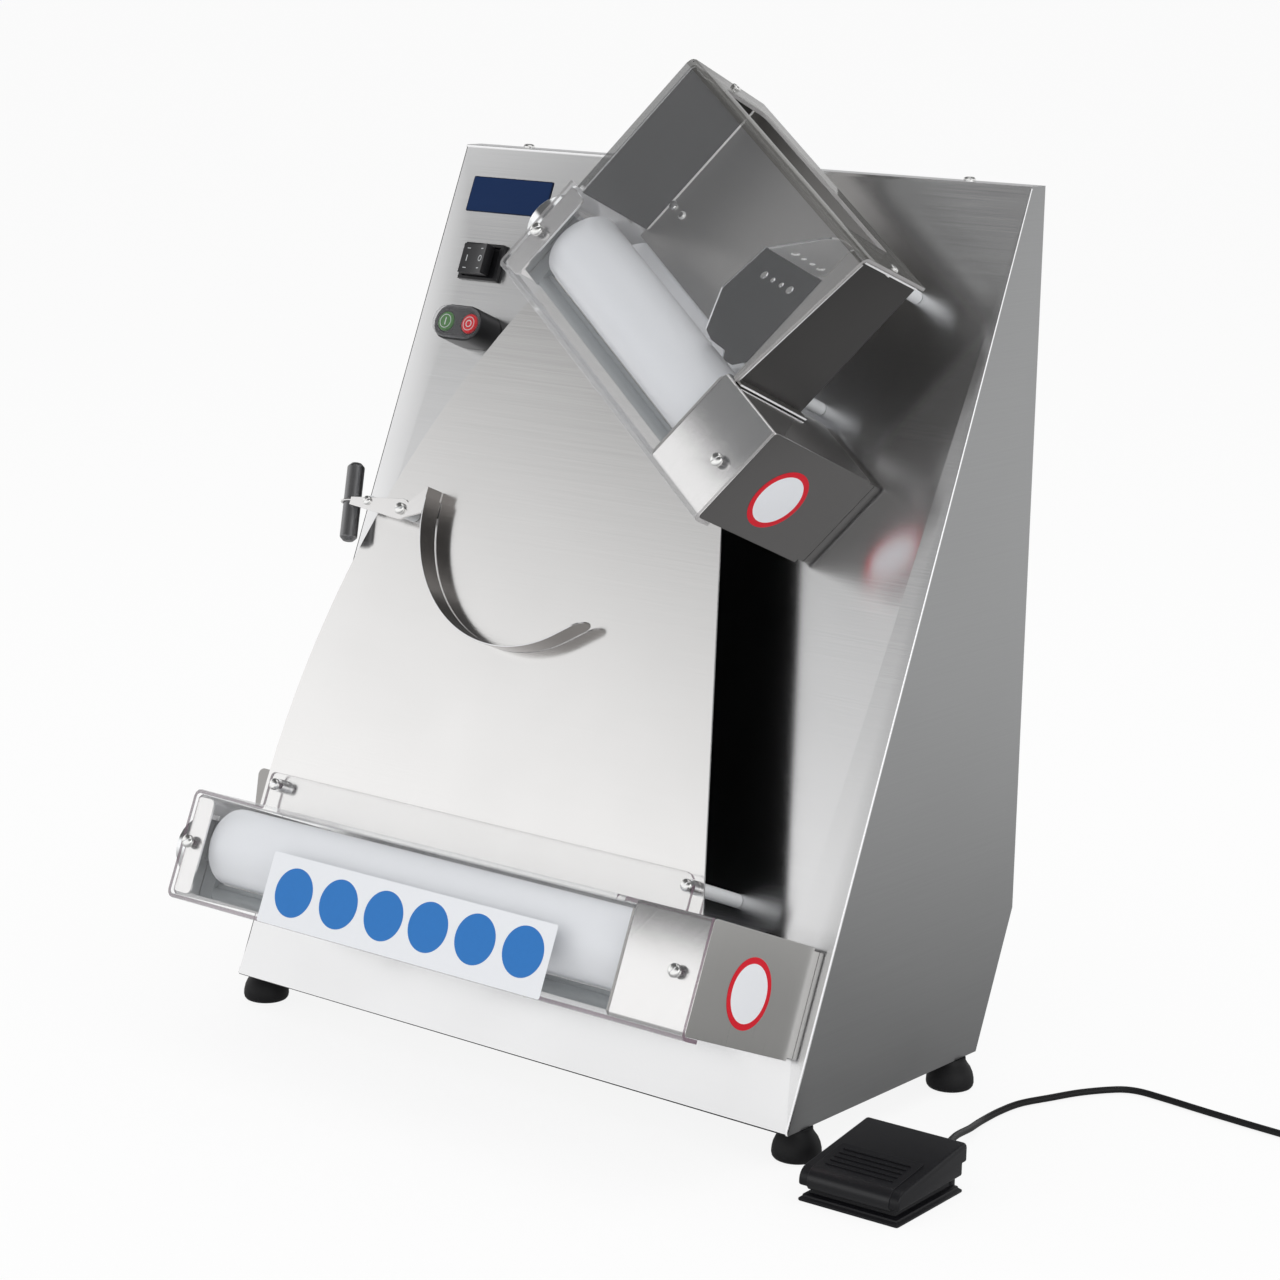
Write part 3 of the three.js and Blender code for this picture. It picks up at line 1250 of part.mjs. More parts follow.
add(pedal, 'pedal_base', build([
  slabZ(pedalOutline, [0, pedalLip]),
  box([-innerTreadle + pedalEarHalf, innerTreadle - pedalEarHalf],
    [-pedalBack + pedalNose + pedalEarHalf, pedalPinBack], [pedalLip - clearance, pedalBlockHigh - pedalEarThick]),
  box([-pedalHalf + heelWallSide, pedalHalf - heelWallSide], [wallFront, wallBack],
    [pedalLip - clearance, heelWallHeight]),
  ...ears,
  turnedX(rod(pedalPinRadius, [-treadleHalf + clearance, treadleHalf - clearance]), 10)
    .translate(0, pedalPinBack, pedalPinHigh),
  turnedY([
    [0, -treadleWall], [reliefRadius, -treadleWall], [reliefRadius, reliefLength / 4],
    [reliefTip, reliefLength], [0, reliefLength],
  ], 12).translate(reliefX, wallBack, reliefZ),
]), blackPlastic);

const noseY = -pedalBack + treadleNoseInset;
const topSlope = Math.atan2(treadleHeelHigh - treadleNoseHigh, wallBack - treadleRound - noseY);
const treadleOutline = (inset, low) => [
  [wallFront - (inset ? 0 : heelGap), treadleHeelLow - low],
  ...(inset ? [[wallFront, treadleHeelHigh - inset * 2]] : [
    [wallFront - heelGap, heelWallHeight + heelGap], [wallBack, heelWallHeight + heelGap],
    [wallBack, treadleHeelHigh - treadleRound], [wallBack - treadleRound, treadleHeelHigh],
  ]),
  [noseY + treadleRound, treadleNoseHigh - inset], [noseY + inset, treadleNoseHigh - treadleRound - inset],
  [noseY + inset, treadleLow - low],
];
const noseCuts = [-1, 1].map((side) => {
  const corner = side * (treadleHalf - pedalNose);
  const from = side < 0 ? quarter * 2 : quarter * 4;
  return slabZ([
    ...arc([corner, noseY + pedalNose], pedalNose, from, quarter * 3, 5),
    [side * (treadleHalf + overrun), noseY], [side * (treadleHalf + overrun), noseY + pedalNose],
  ], [0, treadleHeelHigh + overrun]);
});
const ribs = [];
for (let i = 0; i < ribCount; i += 1) {
  const along = ribFirst + treadleRound + i * ribPitch;
  ribs.push(box([-ribHalfLength, ribHalfLength], [along, along + ribWidth], [-ribSink, ribHeight])
    .rotateX(topSlope).translate(0, noseY + treadleRound, treadleNoseHigh));
}
add(pedal, 'pedal_treadle', build([
  slabX(treadleOutline(0, 0), [-treadleHalf, treadleHalf]), ...ribs,
], [
  slabX(treadleOutline(treadleWall, overrun * 2), [-innerTreadle, innerTreadle]), ...noseCuts,
  turnedX(rod(pedalPinRadius + clearance, [-pedalHalf, pedalHalf]), 12)
    .translate(0, pedalPinBack, pedalPinHigh),
]), blackPlastic);
// Cord and coil are unbroken tubes
function tube(curve, steps, radius, sides) {
  const shape = new THREE.Shape(circle(0, 0, radius, sides).map(([x, y]) => new THREE.Vector2(x, y)));
  return new THREE.ExtrudeGeometry(shape, { steps, extrudePath: curve, bevelEnabled: false });
}
pedal.updateMatrix();
const reliefEnd = [reliefLength + clearance, reliefLength + cordRadius * 3].map((reach) => (
  new THREE.Vector3(reliefX, wallBack + reach, reliefZ).applyMatrix4(pedal.matrix)));
const cordPoints = [
  ...reliefEnd,
  ...cordRoute.map(([x, y, z]) => new THREE.Vector3(pedalX + x, y, z - footHeight)),
  new THREE.Vector3(coilX - cordRadius * 2 - clearance, coilY, cordRoute.at(-1)[2] - footHeight),
];
add(frame, 'pedal_cord', tube(new THREE.CatmullRomCurve3(cordPoints, false, 'centripetal'),
  cordSteps, cordRadius, cordSides), blackRubber);

// The coil winds in on the floor, climbs a layer in the half turn where it reverses, and winds out
class CoilCurve extends THREE.Curve {
  getPoint(t, target = new THREE.Vector3()) {
    const straight = cordRadius * 2;
    const turns = coilTurns * 2;
    const round = turns * Math.PI * 2 * (coilOuter - coilPitch * coilTurns / 2);
    const whole = round + straight * 2;
    const along = t * whole;
    const layer = cordRoute.at(-1)[2] - footHeight;
    if (along < straight) {
      return target.set(coilX - straight + along, coilY, layer);
    }
    if (along > straight + round) {
      return target.set(coilX + along - straight - round, coilY, layer + coilPitch);
    }
    const turn = (along - straight) / round * turns;
    const inward = coilTurns - Math.abs(turn - coilTurns);
    const radius = coilOuter - coilPitch * inward;
    const climb = THREE.MathUtils.smoothstep(turn, coilTurns - 1 / 4, coilTurns + 1 / 4);
    const angle = turn * Math.PI * 2 - Math.PI / 2;
    return target.set(coilX + Math.cos(angle) * radius, coilY + coilOuter + Math.sin(angle) * radius,
      layer + climb * coilPitch);
  }
}
const coilCurve = new CoilCurve();
const coilSteps = coilLoopSteps * coilTurns * 2;
add(frame, 'pedal_cord_coil', tube(coilCurve, coilSteps, cordRadius, coilSides), blackRubber);
let leastGap = Infinity;
const coilPoints = coilCurve.getSpacedPoints(coilSteps * 4);
for (let i = 0; i < coilPoints.length; i += 1) {
  for (let j = i + coilLoopSteps * 2; j < coilPoints.length; j += 1) {
    leastGap = Math.min(leastGap, coilPoints[i].distanceTo(coilPoints[j]) - cordRadius * 2);
  }
}
console.log(`coil: least gap to itself ${leastGap.toFixed(2)} mm`);
add(frame, 'pedal_connector', turnedX([
  [0, 0], [connectorTail, 0], [connectorTail, connectorTailLength - connectorRadius],
  [connectorRadius, connectorTailLength], [connectorRadius, connectorLength],
  [connectorNose, connectorLength], [connectorNose, connectorLength + connectorNoseLength],
  [0, connectorLength + connectorNoseLength],
], 12), blackPlastic, [coilX + cordRadius * 2 + clearance, coilY,
  cordRoute.at(-1)[2] + coilPitch - footHeight]);

// The origin is under the middle of the machine and its pedal, at the floor
const cordNames = ['pedal_cord', 'pedal_cord_coil', 'pedal_connector'];
const bounds = new THREE.Box3();
root.updateMatrixWorld(true);
frame.traverse((object) => {
  if (object.isMesh && !cordNames.includes(object.name)) {
    bounds.expandByObject(object, true);
  }
});
frame.position.set(-(bounds.min.x + bounds.max.x) / 2, -(bounds.min.y + bounds.max.y) / 2, -bounds.min.z);

export default root;
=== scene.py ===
"""Looks of the table-top dough roller: materials, fine detail, pedal lead, studio light and camera.

Sizes are in millimetres in the frames of the part's groups and go to metres when a piece is made.
BODY is the part's own frame. PANEL has u to the right, v up and n out of the leaning front. LOWER
and UPPER have a along the rollers, b across them and n out. PEDAL stands on the floor, y to its heel.
"""
import json
from math import asin, atan, atan2, cos, pi, radians, sin, sqrt

import bmesh
import bpy
from mathutils import Matrix, Vector
from mathutils.bvhtree import BVHTree


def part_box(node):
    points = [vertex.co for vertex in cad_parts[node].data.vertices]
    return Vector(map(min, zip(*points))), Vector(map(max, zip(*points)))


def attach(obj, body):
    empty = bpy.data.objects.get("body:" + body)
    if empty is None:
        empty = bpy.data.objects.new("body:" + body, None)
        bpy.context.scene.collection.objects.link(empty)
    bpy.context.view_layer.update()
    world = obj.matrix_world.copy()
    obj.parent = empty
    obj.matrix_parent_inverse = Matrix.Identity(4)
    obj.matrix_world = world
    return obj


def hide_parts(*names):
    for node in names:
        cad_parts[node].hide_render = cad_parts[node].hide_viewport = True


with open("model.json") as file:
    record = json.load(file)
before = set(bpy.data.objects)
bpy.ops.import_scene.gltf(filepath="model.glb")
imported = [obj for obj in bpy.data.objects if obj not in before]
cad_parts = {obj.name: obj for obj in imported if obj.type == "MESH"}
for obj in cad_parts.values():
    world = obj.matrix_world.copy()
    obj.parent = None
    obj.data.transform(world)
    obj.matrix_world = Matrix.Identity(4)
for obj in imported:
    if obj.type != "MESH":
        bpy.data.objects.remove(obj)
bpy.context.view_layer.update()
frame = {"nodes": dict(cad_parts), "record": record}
NODES = frame["nodes"]


# ---------------------------------------------------------------- frames
def move(x, y, z):
    return Matrix.Translation((x, y, z))


def turn(angle, axis):
    return Matrix.Rotation(angle, 4, axis)


def to(group, point):
    """A point of the scene in the group's frame."""
    return group.inverted() @ point


MM = 0.001
MILLI = Matrix.Scale(MM, 4)
FLOOR = -23.1  # its height in BODY
BODY_HALF = 265  # half the body's width
TOP_Y, TOP_Z = 259.9, 631.1  # upper edge of the leaning front, which starts at y 0, z 0 of BODY
CATCH_U, CATCH_V = -165, 372
START_U, STOP_U, BUTTON_V, BUTTON_N = -213, -189, 531, 26

BODY = MILLI @ move(-53.618, -97.629, -FLOOR)
PANEL = BODY @ turn(pi / 2 - atan(TOP_Y / TOP_Z), "X")
LOWER = PANEL @ move(255.8, 46.35, 0)
UPPER = PANEL @ move(154.93, 387.73, 0) @ turn(-radians(35.067), "Z")
CATCH = PANEL @ move(CATCH_U, CATCH_V, 0)
PEDAL = BODY @ move(341.6, 3, FLOOR) @ turn(radians(2.4), "Z")
KEY = PANEL @ move(-214, 587, 6.3) @ turn(-radians(10), "Y")
# These turn a prism's or a lathe's z to x, or to y
TO_X = Matrix(((0, 0, 1, 0), (1, 0, 0, 0), (0, 1, 0, 0), (0, 0, 0, 1)))
TO_Y = Matrix(((0, 1, 0, 0), (0, 0, 1, 0), (1, 0, 0, 0), (0, 0, 0, 1)))

PANEL_TURN = PANEL.to_3x3().normalized()
UPPER_TURN = UPPER.to_3x3().normalized()
U, V, N = (PANEL_TURN @ Vector(axis) for axis in ((1, 0, 0), (0, 1, 0), (0, 0, 1)))
A, B = (UPPER_TURN @ Vector(axis) for axis in ((1, 0, 0), (0, 1, 0)))


def new_object(name, data):
    made = bpy.data.objects.new(name, data)
    bpy.context.scene.collection.objects.link(made)
    return made


# ---------------------------------------------------------------- camera
cam_data = bpy.data.cameras.new("camera")
cam_data.lens = 92.43
cam_data.sensor_width = 36
camera = new_object("camera", cam_data)
camera.matrix_world = Matrix((
    (0.77989, -0.148085, 0.60814, 1.445099),
    (0.62558, 0.153032, -0.76500, -1.821038),
    (0.02022, 0.977056, 0.21199, 0.826712),
    (0, 0, 0, 1),
))
bpy.context.scene.camera = camera
bpy.context.scene.view_settings.view_transform = "Standard"


# ---------------------------------------------------------------- materials
def add(tree, kind, sockets, **settings):
    """New shader node: its settings, then its sockets, each from a value or another node's output."""
    node = tree.nodes.new("ShaderNode" + kind)
    for key, value in settings.items():
        setattr(node, key, value)
    for key, value in sockets.items():
        if isinstance(value, bpy.types.NodeSocket):
            tree.links.new(value, node.inputs[key])
        else:
            node.inputs[key].default_value = value
    return node


def add_range(tree, value, low, high, to_low, to_high, **settings):
    """Output of a node that takes low to high of the value to to_low to to_high."""
    sockets = {"Value": value, "From Min": low, "From Max": high, "To Min": to_low, "To Max": to_high}
    return add(tree, "MapRange", sockets, **settings).outputs["Result"]


def add_math(tree, operation, *terms, **settings):
    return add(tree, "Math", dict(enumerate(terms)), operation=operation, **settings).outputs[0]


def add_mix(tree, factor, low, high, **settings):
    return add(tree, "Mix", {"Factor": factor, "A": low, "B": high}, **settings).outputs["Result"]


def lin(*levels):
    """Linear colour from 8-bit levels."""
    return tuple(level / 255 / 12.92 if level < 10 else ((level / 255 + 0.055) / 1.055) ** 2.4
                 for level in levels)


def shade(color, factor):
    return tuple(min(c * factor, 1) for c in color) + (1,)


BROAD_SCALE = 9  # of the soft noise, per metre
NOISE_LOW, NOISE_HIGH = 0.25, 0.75  # the noise nodes' usual reach


def surface(name, color, metallic=0.0, rough=0.5, grain=(0.004,) * 3, turned=None, tone=0.06, vary=0.05,
            bump=0.0, depth=0.0002, blotch=0.04, detail=3.0, tangent=None, **sockets):
    """Principled surface whose colour, roughness and bump follow a grain and a broad soft noise.

    grain is the noise's size in metres along the axes of turned. tone is how much of the colour
    changes with it, vary and blotch how much the roughness changes with it and with the soft noise.
    """
    material = bpy.data.materials.new(name)
    material.use_nodes = True
    tree = material.node_tree
    shader = tree.nodes["Principled BSDF"].inputs
    shader["Metallic"].default_value = metallic
    for key, value in sockets.items():
        shader[key.replace("_", " ")].default_value = value
    place = add(tree, "TexCoord", {}).outputs["Object"]
    mapping = add(tree, "Mapping", {"Vector": place, "Scale": grain}, vector_type="TEXTURE")
    if turned is not None:
        mapping.inputs["Rotation"].default_value = turned.to_euler()
    fine = add(tree, "TexNoise", {"Vector": mapping.outputs["Vector"], "Scale": 1, "Detail": detail})
    fine = fine.outputs["Fac"]
    broad = add(tree, "TexNoise", {"Vector": place, "Scale": BROAD_SCALE, "Detail": 2})
    share = blotch / vary
    both = add_math(tree, "MULTIPLY_ADD", broad.outputs["Fac"], share, fine)
    roughness = add_range(tree, both, NOISE_LOW, NOISE_HIGH + share, rough - vary, rough + vary)
    tree.links.new(roughness, shader["Roughness"])
    mixed = add_mix(tree, fine, shade(color, 1 - tone), shade(color, 1 + tone), data_type="RGBA")
    tree.links.new(mixed, shader["Base Color"])
    if bump:
        bumper = add(tree, "Bump", {"Strength": bump, "Distance": depth, "Height": fine})
        tree.links.new(bumper.outputs["Normal"], shader["Normal"])
    if tangent is not None:
        vector = add(tree, "CombineXYZ", dict(enumerate(tangent)))
        tree.links.new(vector.outputs["Vector"], shader["Tangent"])
    return material


def clear(name, color, facing, glancing, rough=0.04, power=3.0):
    """Clear sheet: nearly invisible face on, whiter and glossier at a glancing angle."""
    material = surface(name, color, rough=rough, vary=0.015, blotch=0.02, tone=0.01, grain=(0.02,) * 3)
    tree = material.node_tree
    weight = add(tree, "LayerWeight", {"Blend": 0.5}).outputs["Facing"]
    alpha = add_range(tree, add_math(tree, "POWER", weight, power), 0, 1, facing, glancing)
    tree.links.new(alpha, tree.nodes["Principled BSDF"].inputs["Alpha"])
    return material


ALONG, ACROSS = 0.11, 0.00055  # length and width of a brush stroke, in metres
ROW = (ALONG, ACROSS, ACROSS)
COLUMN = (ACROSS, ALONG, ACROSS)
BRUSH = dict(metallic=1.0, tone=0.07, vary=0.06, blotch=0.03, bump=0.12, depth=0.00006, detail=2.0)
SMOOTH = dict(bump=0.0, tone=0.02, vary=0.02, blotch=0.015)


def brushed(name, color, rough, aniso=0.0, turned=PANEL_TURN, tangent=V, grain=ROW, **more):
    return surface(name, color, rough=rough, turned=turned, grain=grain, tangent=tangent, Anisotropic=aniso,
                   **{**BRUSH, **more})


steel_front = brushed("steel_front", (0.79, 0.79, 0.795), 0.2, 0.8)
steel_chute = brushed("steel_chute", (0.82, 0.812, 0.805), 0.17, 0.75, bump=0.07)
# painted shade: a darker copy of the brushed steel for the body's outer sides, standing in for the dark
# room they mirror
steel_shaded_side = brushed("steel_shaded_side", (0.34, 0.343, 0.346), 0.36, 0.5, tangent=(0, 0.3, 0.95),
                     grain=(ACROSS, 0.09, ACROSS), turned=Matrix.Identity(3))
steel_back = brushed("steel_back", (0.6, 0.6, 0.61), 0.34, tangent=(1, 0, 0), turned=Matrix.Identity(3))
# painted reflection: a much darker copy of the brushed steel for the upper unit's right-hand faces,
# standing in for the dark room they mirror
steel_shaded_upper_side = brushed("steel_shaded_upper_side", (0.135, 0.132, 0.13), 0.29, 0.3, turned=UPPER_TURN, tangent=N,
                     grain=COLUMN, **SMOOTH)
# painted shade: a darker copy of the brushed steel for the lower unit's right-hand faces
steel_shaded_lower_side = brushed("steel_shaded_lower_side", (0.6, 0.595, 0.58), 0.28, 0.5, grain=COLUMN, **SMOOTH)
steel_unit = brushed("steel_unit", (0.83, 0.82, 0.815), 0.2, 0.5, turned=UPPER_TURN,
                     tangent=A * 0.8 + N * 0.6, grain=COLUMN, bump=0.06)
# painted reflection: a near-black copy of the brushed steel for the hopper walls that face along the
# rollers
steel_wall_mirror_shade = brushed("steel_wall_mirror_shade", (0.07, 0.068, 0.067), 0.36, 0.3, turned=UPPER_TURN, tangent=N,
                     grain=COLUMN, **SMOOTH)
# painted shade: a darker copy of the brushed steel for the hopper's faces, standing in for the dark things
# they mirror; the lip tab and the roller units' brackets take it too
steel_hopper_shaded = brushed("steel_hopper_shaded", (0.42, 0.41, 0.4), 0.38, 0.2, turned=UPPER_TURN,
                       tangent=B * 0.9 + A * 0.4, **SMOOTH)
# pale steel for the sheets' cut edges, and a painted highlight on the body's right-hand folds
steel_edge_and_highlight = brushed("steel_edge_and_highlight", (0.86, 0.86, 0.87), 0.24)
# painted highlight: near-white, half-metallic steel on the hopper's slanted faces
steel_highlight = brushed("steel_highlight", (0.95, 0.94, 0.93), 0.35, metallic=0.35)
# painted shade: near-black steel on the body's bottom fold and its left-hand folds, standing in for the
# shadow they would mirror
steel_shaded_bend = brushed("steel_shaded_bend", (0.035, 0.035, 0.035), 0.45)
steel_shadow = brushed("steel_shadow", (0.02, 0.02, 0.02), 0.5)
steel_strip = brushed("steel_strip", (0.27, 0.255, 0.245), 0.2, 0.4, tangent=N, **SMOOTH)
bright = surface("bright_screws", (0.8, 0.8, 0.79), 1, 0.2, (0.0015,) * 3, tone=0.05, vary=0.06, bump=0.05)
polished = surface("polished_aluminium", (0.83, 0.84, 0.85), 1, 0.16, (0.0004, 0.03, 0.03), tone=0.03,
                   bump=0.08, depth=0.00005)
shaft_steel = surface("shaft_steel", (0.68, 0.68, 0.69), 1, 0.25, (0.0006, 0.02, 0.02), tone=0.05,
                      vary=0.08, bump=0.06, depth=0.00008)
weight_steel = surface("weight_steel", (0.22, 0.22, 0.225), 1, 0.38, (0.0008, 0.0008, 0.02), PANEL_TURN,
                       tone=0.12, vary=0.08, bump=0.1, depth=0.0001)
cast = surface("cast_grey", (0.27, 0.29, 0.3), 0.4, 0.55, (0.0016,) * 3, tone=0.12, vary=0.08, bump=0.35,
               depth=0.0003, detail=5)

roller_white = surface("roller_white", lin(235, 237, 241), 0, 0.36, (0.0006, 0.05, 0.05), tone=0.012,
                       bump=0.05, depth=0.00005, Subsurface_Weight=0.08,
                       Subsurface_Radius=(0.004, 0.004, 0.004), Subsurface_Scale=1.0)
standoff_white = surface("standoff_white", lin(228, 230, 232), rough=0.42, tone=0.02, bump=0.05)
black_plastic = surface("black_plastic", (0.014, 0.014, 0.016), 0, 0.38, (0.0005,) * 3, tone=0.2, vary=0.08,
                        bump=0.18, depth=0.0001, detail=5)
black_pedal = surface("black_pedal", (0.009, 0.009, 0.011), 0, 0.36, (0.0004,) * 3, tone=0.2, vary=0.08,
                      bump=0.3, depth=0.00012, detail=5, Specular_IOR_Level=0.3)
black_rubber = surface("black_rubber", (0.009, 0.009, 0.01), 0, 0.55, (0.0008,) * 3, tone=0.25, vary=0.1,
                       bump=0.3, depth=0.00015, detail=5, Specular_IOR_Level=0.3)
cord_black = surface("cord_black", (0.009, 0.009, 0.01), 0, 0.45, (0.0006,) * 3, tone=0.15, vary=0.08,
                     bump=0.15, depth=0.0001, Specular_IOR_Level=0.3)
nose_black = surface("nose_black", (0.009, 0.009, 0.011), 0, 0.3, (0.001,) * 3, tone=0.1, bump=0.08,
                     depth=0.00008, Specular_IOR_Level=0.45)
belt_green = surface("belt_green", (0.05, 0.2, 0.07), grain=(0.0009,) * 3, tone=0.1, bump=0.2)

PRESSED = dict(tone=0.05, bump=0.05, Specular_IOR_Level=0.3)
button_green = surface("button_green", lin(66, 118, 58), rough=0.3, **PRESSED)
button_red = surface("button_red", lin(204, 30, 40), rough=0.28, **PRESSED)
mark_white = surface("mark_white", lin(205, 208, 210), tone=0.04)
navy = surface("name_plate_navy", lin(14, 42, 84), 0, 0.3, (0.05, 0.0004, 0.0004), PANEL_TURN, bump=0.06,
               depth=0.00004, Specular_IOR_Level=0.2)
plate_rim = surface("name_plate_rim", lin(12, 28, 56), rough=0.35, tone=0.05, Specular_IOR_Level=0.2)
PRINT = dict(rough=0.34, vary=0.04, bump=0.03, Specular_IOR_Level=0.2)
label_white = surface("label_white", lin(238, 240, 244), tone=0.01, **PRINT)
label_blue = surface("label_blue", lin(48, 120, 194), tone=0.03, **PRINT)
label_red = surface("label_red", lin(216, 18, 40), tone=0.03, **PRINT)

guard_clear = clear("guard_clear", (0.9, 0.92, 0.94), 0.035, 0.6)
hood_clear = clear("hood_clear", (0.66, 0.67, 0.69), 0.07, 0.75)
# painted shade: darker, less clear copies of the hood's sheet for its top and its left wall
hood_top_shade = clear("hood_top_shade", (0.12, 0.118, 0.11), 0.48, 0.9)
hood_wall_shade = clear("hood_wall_shade", (0.055, 0.057, 0.052), 0.72, 0.9)
boot_clear = clear("boot_clear", (0.5, 0.5, 0.52), 0.03, 0.6, rough=0.06, power=2.0)
SHEET_EDGE = dict(rough=0.1, grain=(0.01,) * 3, tone=0.1, Alpha=0.75)
guard_edge = surface("guard_edge", (0.2, 0.13, 0.17), **SHEET_EDGE)
hood_edge = surface("hood_edge", (0.42, 0.41, 0.41), **SHEET_EDGE)


# ---------------------------------------------------------------- outlines and solids
def arc(centre, radius, start, end, steps):
    return [(centre[0] + cos(start + (end - start) * i / steps) * radius,
             centre[1] + sin(start + (end - start) * i / steps) * radius) for i in range(steps + 1)]


def circle(cx, cy, radius, steps):
    return arc((cx, cy), radius, 0, 2 * pi * (steps - 1) / steps, steps - 1)


def round_rect(x0, x1, y0, y1, radius, steps=5):
    return (arc((x1 - radius, y1 - radius), radius, 0, pi / 2, steps)
            + arc((x0 + radius, y1 - radius), radius, pi / 2, pi, steps)
            + arc((x0 + radius, y0 + radius), radius, pi, pi * 1.5, steps)
            + arc((x1 - radius, y0 + radius), radius, pi * 1.5, pi * 2, steps))


def loft(bm, rings, matrix=Matrix.Identity(4)):
    """Closed solid through rings of as many points each, from the bottom to the top."""
    made = [[bm.verts.new(matrix @ Vector(point)) for point in ring] for ring in rings]
    bm.faces.new(list(reversed(made[0])))
    bm.faces.new(made[-1])
    for low, high in zip(made, made[1:]):
        for i in range(len(low)):
            j = (i + 1) % len(low)
            bm.faces.new((low[i], low[j], high[j], high[i]))


def prism(bm, outline, low, high, matrix=Matrix.Identity(4)):
    loft(bm, [[(x, y, z) for x, y in outline] for z in (low, high)], matrix)


def lathe(bm, profile, sides, matrix=Matrix.Identity(4)):
    """Solid turned about z from radius and height, with flat ends."""
    loft(bm, [[(cos(i / sides * 2 * pi) * r, sin(i / sides * 2 * pi) * r, z) for i in range(sides)]
              for r, z in profile], matrix)


# ---------------------------------------------------------------- making pieces
BEVELLED = 32  # degrees between two faces from which a bevel rounds their edge
SHARP = 40  # degrees from which the edge is sharp where nothing is bevelled


def finish_mesh(bm, name, materials, body, group=Matrix.Identity(4), node=None, bevel=0.0,
                limit=BEVELLED, crease=SHARP):
    """Piece that rides the body, from bm in the group's frame, for the node where one is given."""
    bm.transform(group)
    bmesh.ops.recalc_face_normals(bm, faces=bm.faces)
    sharp = radians(limit if bevel else crease)
    for face in bm.faces:
        face.smooth = True
    for edge in bm.edges:
        edge.smooth = len(edge.link_faces) == 2 and edge.calc_face_angle(0) < sharp
    mesh = bpy.data.meshes.new(name)
    bm.to_mesh(mesh)
    bm.free()
    for material in materials:
        mesh.materials.append(material)
    piece = new_object(name, mesh)
    if bevel:
        modifier = piece.modifiers.new("edges", "BEVEL")
        modifier.width = bevel * MM
        modifier.segments = 2
        modifier.limit_method = "ANGLE"
        modifier.angle_limit = radians(limit)
        modifier.harden_normals = True
        modifier.use_clamp_overlap = False
    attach(piece, body)
    if node:
        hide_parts(node)
    return piece


def body_of(node):
    for body, members in frame["record"]["behaviour"]["bodies"].items():
        if node in members:
            return body


WELD = 0.000002
FLAT = radians(0.5)
BENT = radians(15)
FOLD_SEGMENTS = 4
PROBE = 0.00002  # a probe of the thickness starts this deep


def round_folds(bm, folds):
    """Rounds the bent edges that a fold's test picks from their middle, direction and length."""
    for test, radius in folds:
        picked = []
        for edge in bm.edges:
            start, end = (vert.co for vert in edge.verts)
            if (len(edge.link_faces) == 2 and edge.calc_face_angle(0) > BENT
                    and test((start + end) / 2, (end - start).normalized(), edge.calc_length())):
                picked.append(edge)
        bmesh.ops.bevel(bm, geom=picked, offset=radius * MM, offset_type="OFFSET", profile=0.5,
                        segments=FOLD_SEGMENTS, affect="EDGES", clamp_overlap=False)


def paint(bm, choose):
    """Gives each face the material that choose picks from its middle, normal and the depth behind it."""
    bm.faces.index_update()
    bm.faces.ensure_lookup_table()
    tree = BVHTree.FromBMesh(bm)
    bm.normal_update()
    largest = {}
    for loops in bm.calc_loop_triangles():
        p, q, r = (loop.vert.co for loop in loops)
        size = (q - p).cross(r - p).length
        if size > largest.get(loops[0].face.index, (0,))[0]:
            largest[loops[0].face.index] = (size, (p + q + r) / 3)
    for face in bm.faces:
        middle = largest[face.index][1] if face.index in largest else face.calc_center_median()
        depth = tree.ray_cast(middle - face.normal * PROBE, -face.normal)[3]
        face.material_index = choose(middle, face.normal, 1 if depth is None else depth)


def dress(node, materials, bevel, choose=None, folds=(), shape=None, limit=BEVELLED, cut=None):
    """The node's own form with rounded edges; shape moves its points, folds are rounded up to cut."""
    bm = bmesh.new()
    bm.from_mesh(NODES[node].data)
    if shape:
        for vert in bm.verts:
            vert.co = shape(vert.co)
    bmesh.ops.remove_doubles(bm, verts=bm.verts, dist=WELD)
    bmesh.ops.dissolve_limit(bm, angle_limit=FLAT, verts=bm.verts, edges=bm.edges, delimit={"NORMAL"})
    if cut:
        bmesh.ops.bisect_plane(bm, geom=bm.verts[:] + bm.edges[:] + bm.faces[:], plane_co=(0, 0, cut),
                               plane_no=(0, 0, 1))
    bm.faces.index_update()
    round_folds(bm, folds)
    if choose:
        paint(bm, choose)
    return finish_mesh(bm, node + "_form", materials, body_of(node), node=node, bevel=bevel,
                       limit=limit)


# ---------------------------------------------------------------- pedal lead
CORD = 5.0
LYING = FLOOR + 2.8  # height of the lead's middle on the floor
RELIEF = move(16.5, 39.75, 14) @ TO_Y  # where the lead leaves the heel wall, z along it
RELIEF_REACH = 11.3, 18.5
ROUTE_STEPS = 90
ROUTE = [  # x, y and height over the floor
    (348, 74, 17), (339, 96, 15), (328, 133, 8), (319.5, 160, 3.4), (317.6, 187, 2.8), (320, 211, 2.8),
    (330, 236, 2.8), (340.5, 260, 2.8), (354, 280, 2.8), (362, 287.6, 2.8), (372, 291, 2.8),
    (390, 290.5, 2.8), (426.6, 287, 2.8), (465.6, 284, 2.8), (499, 282.3, 2.8), (520.7, 282, 2.8)]
COIL_X, COIL_Y, COIL_RADIUS, COIL_TURNS, COIL_PITCH, COIL_STEPS = 526, 282, 36, 3, 5.6, 40
COIL_IN, COIL_OUT = 2.5, 5.2  # straight ends before and after the coil
CLIMB = 0.5  # share of a turn in which the lead goes up to its second layer


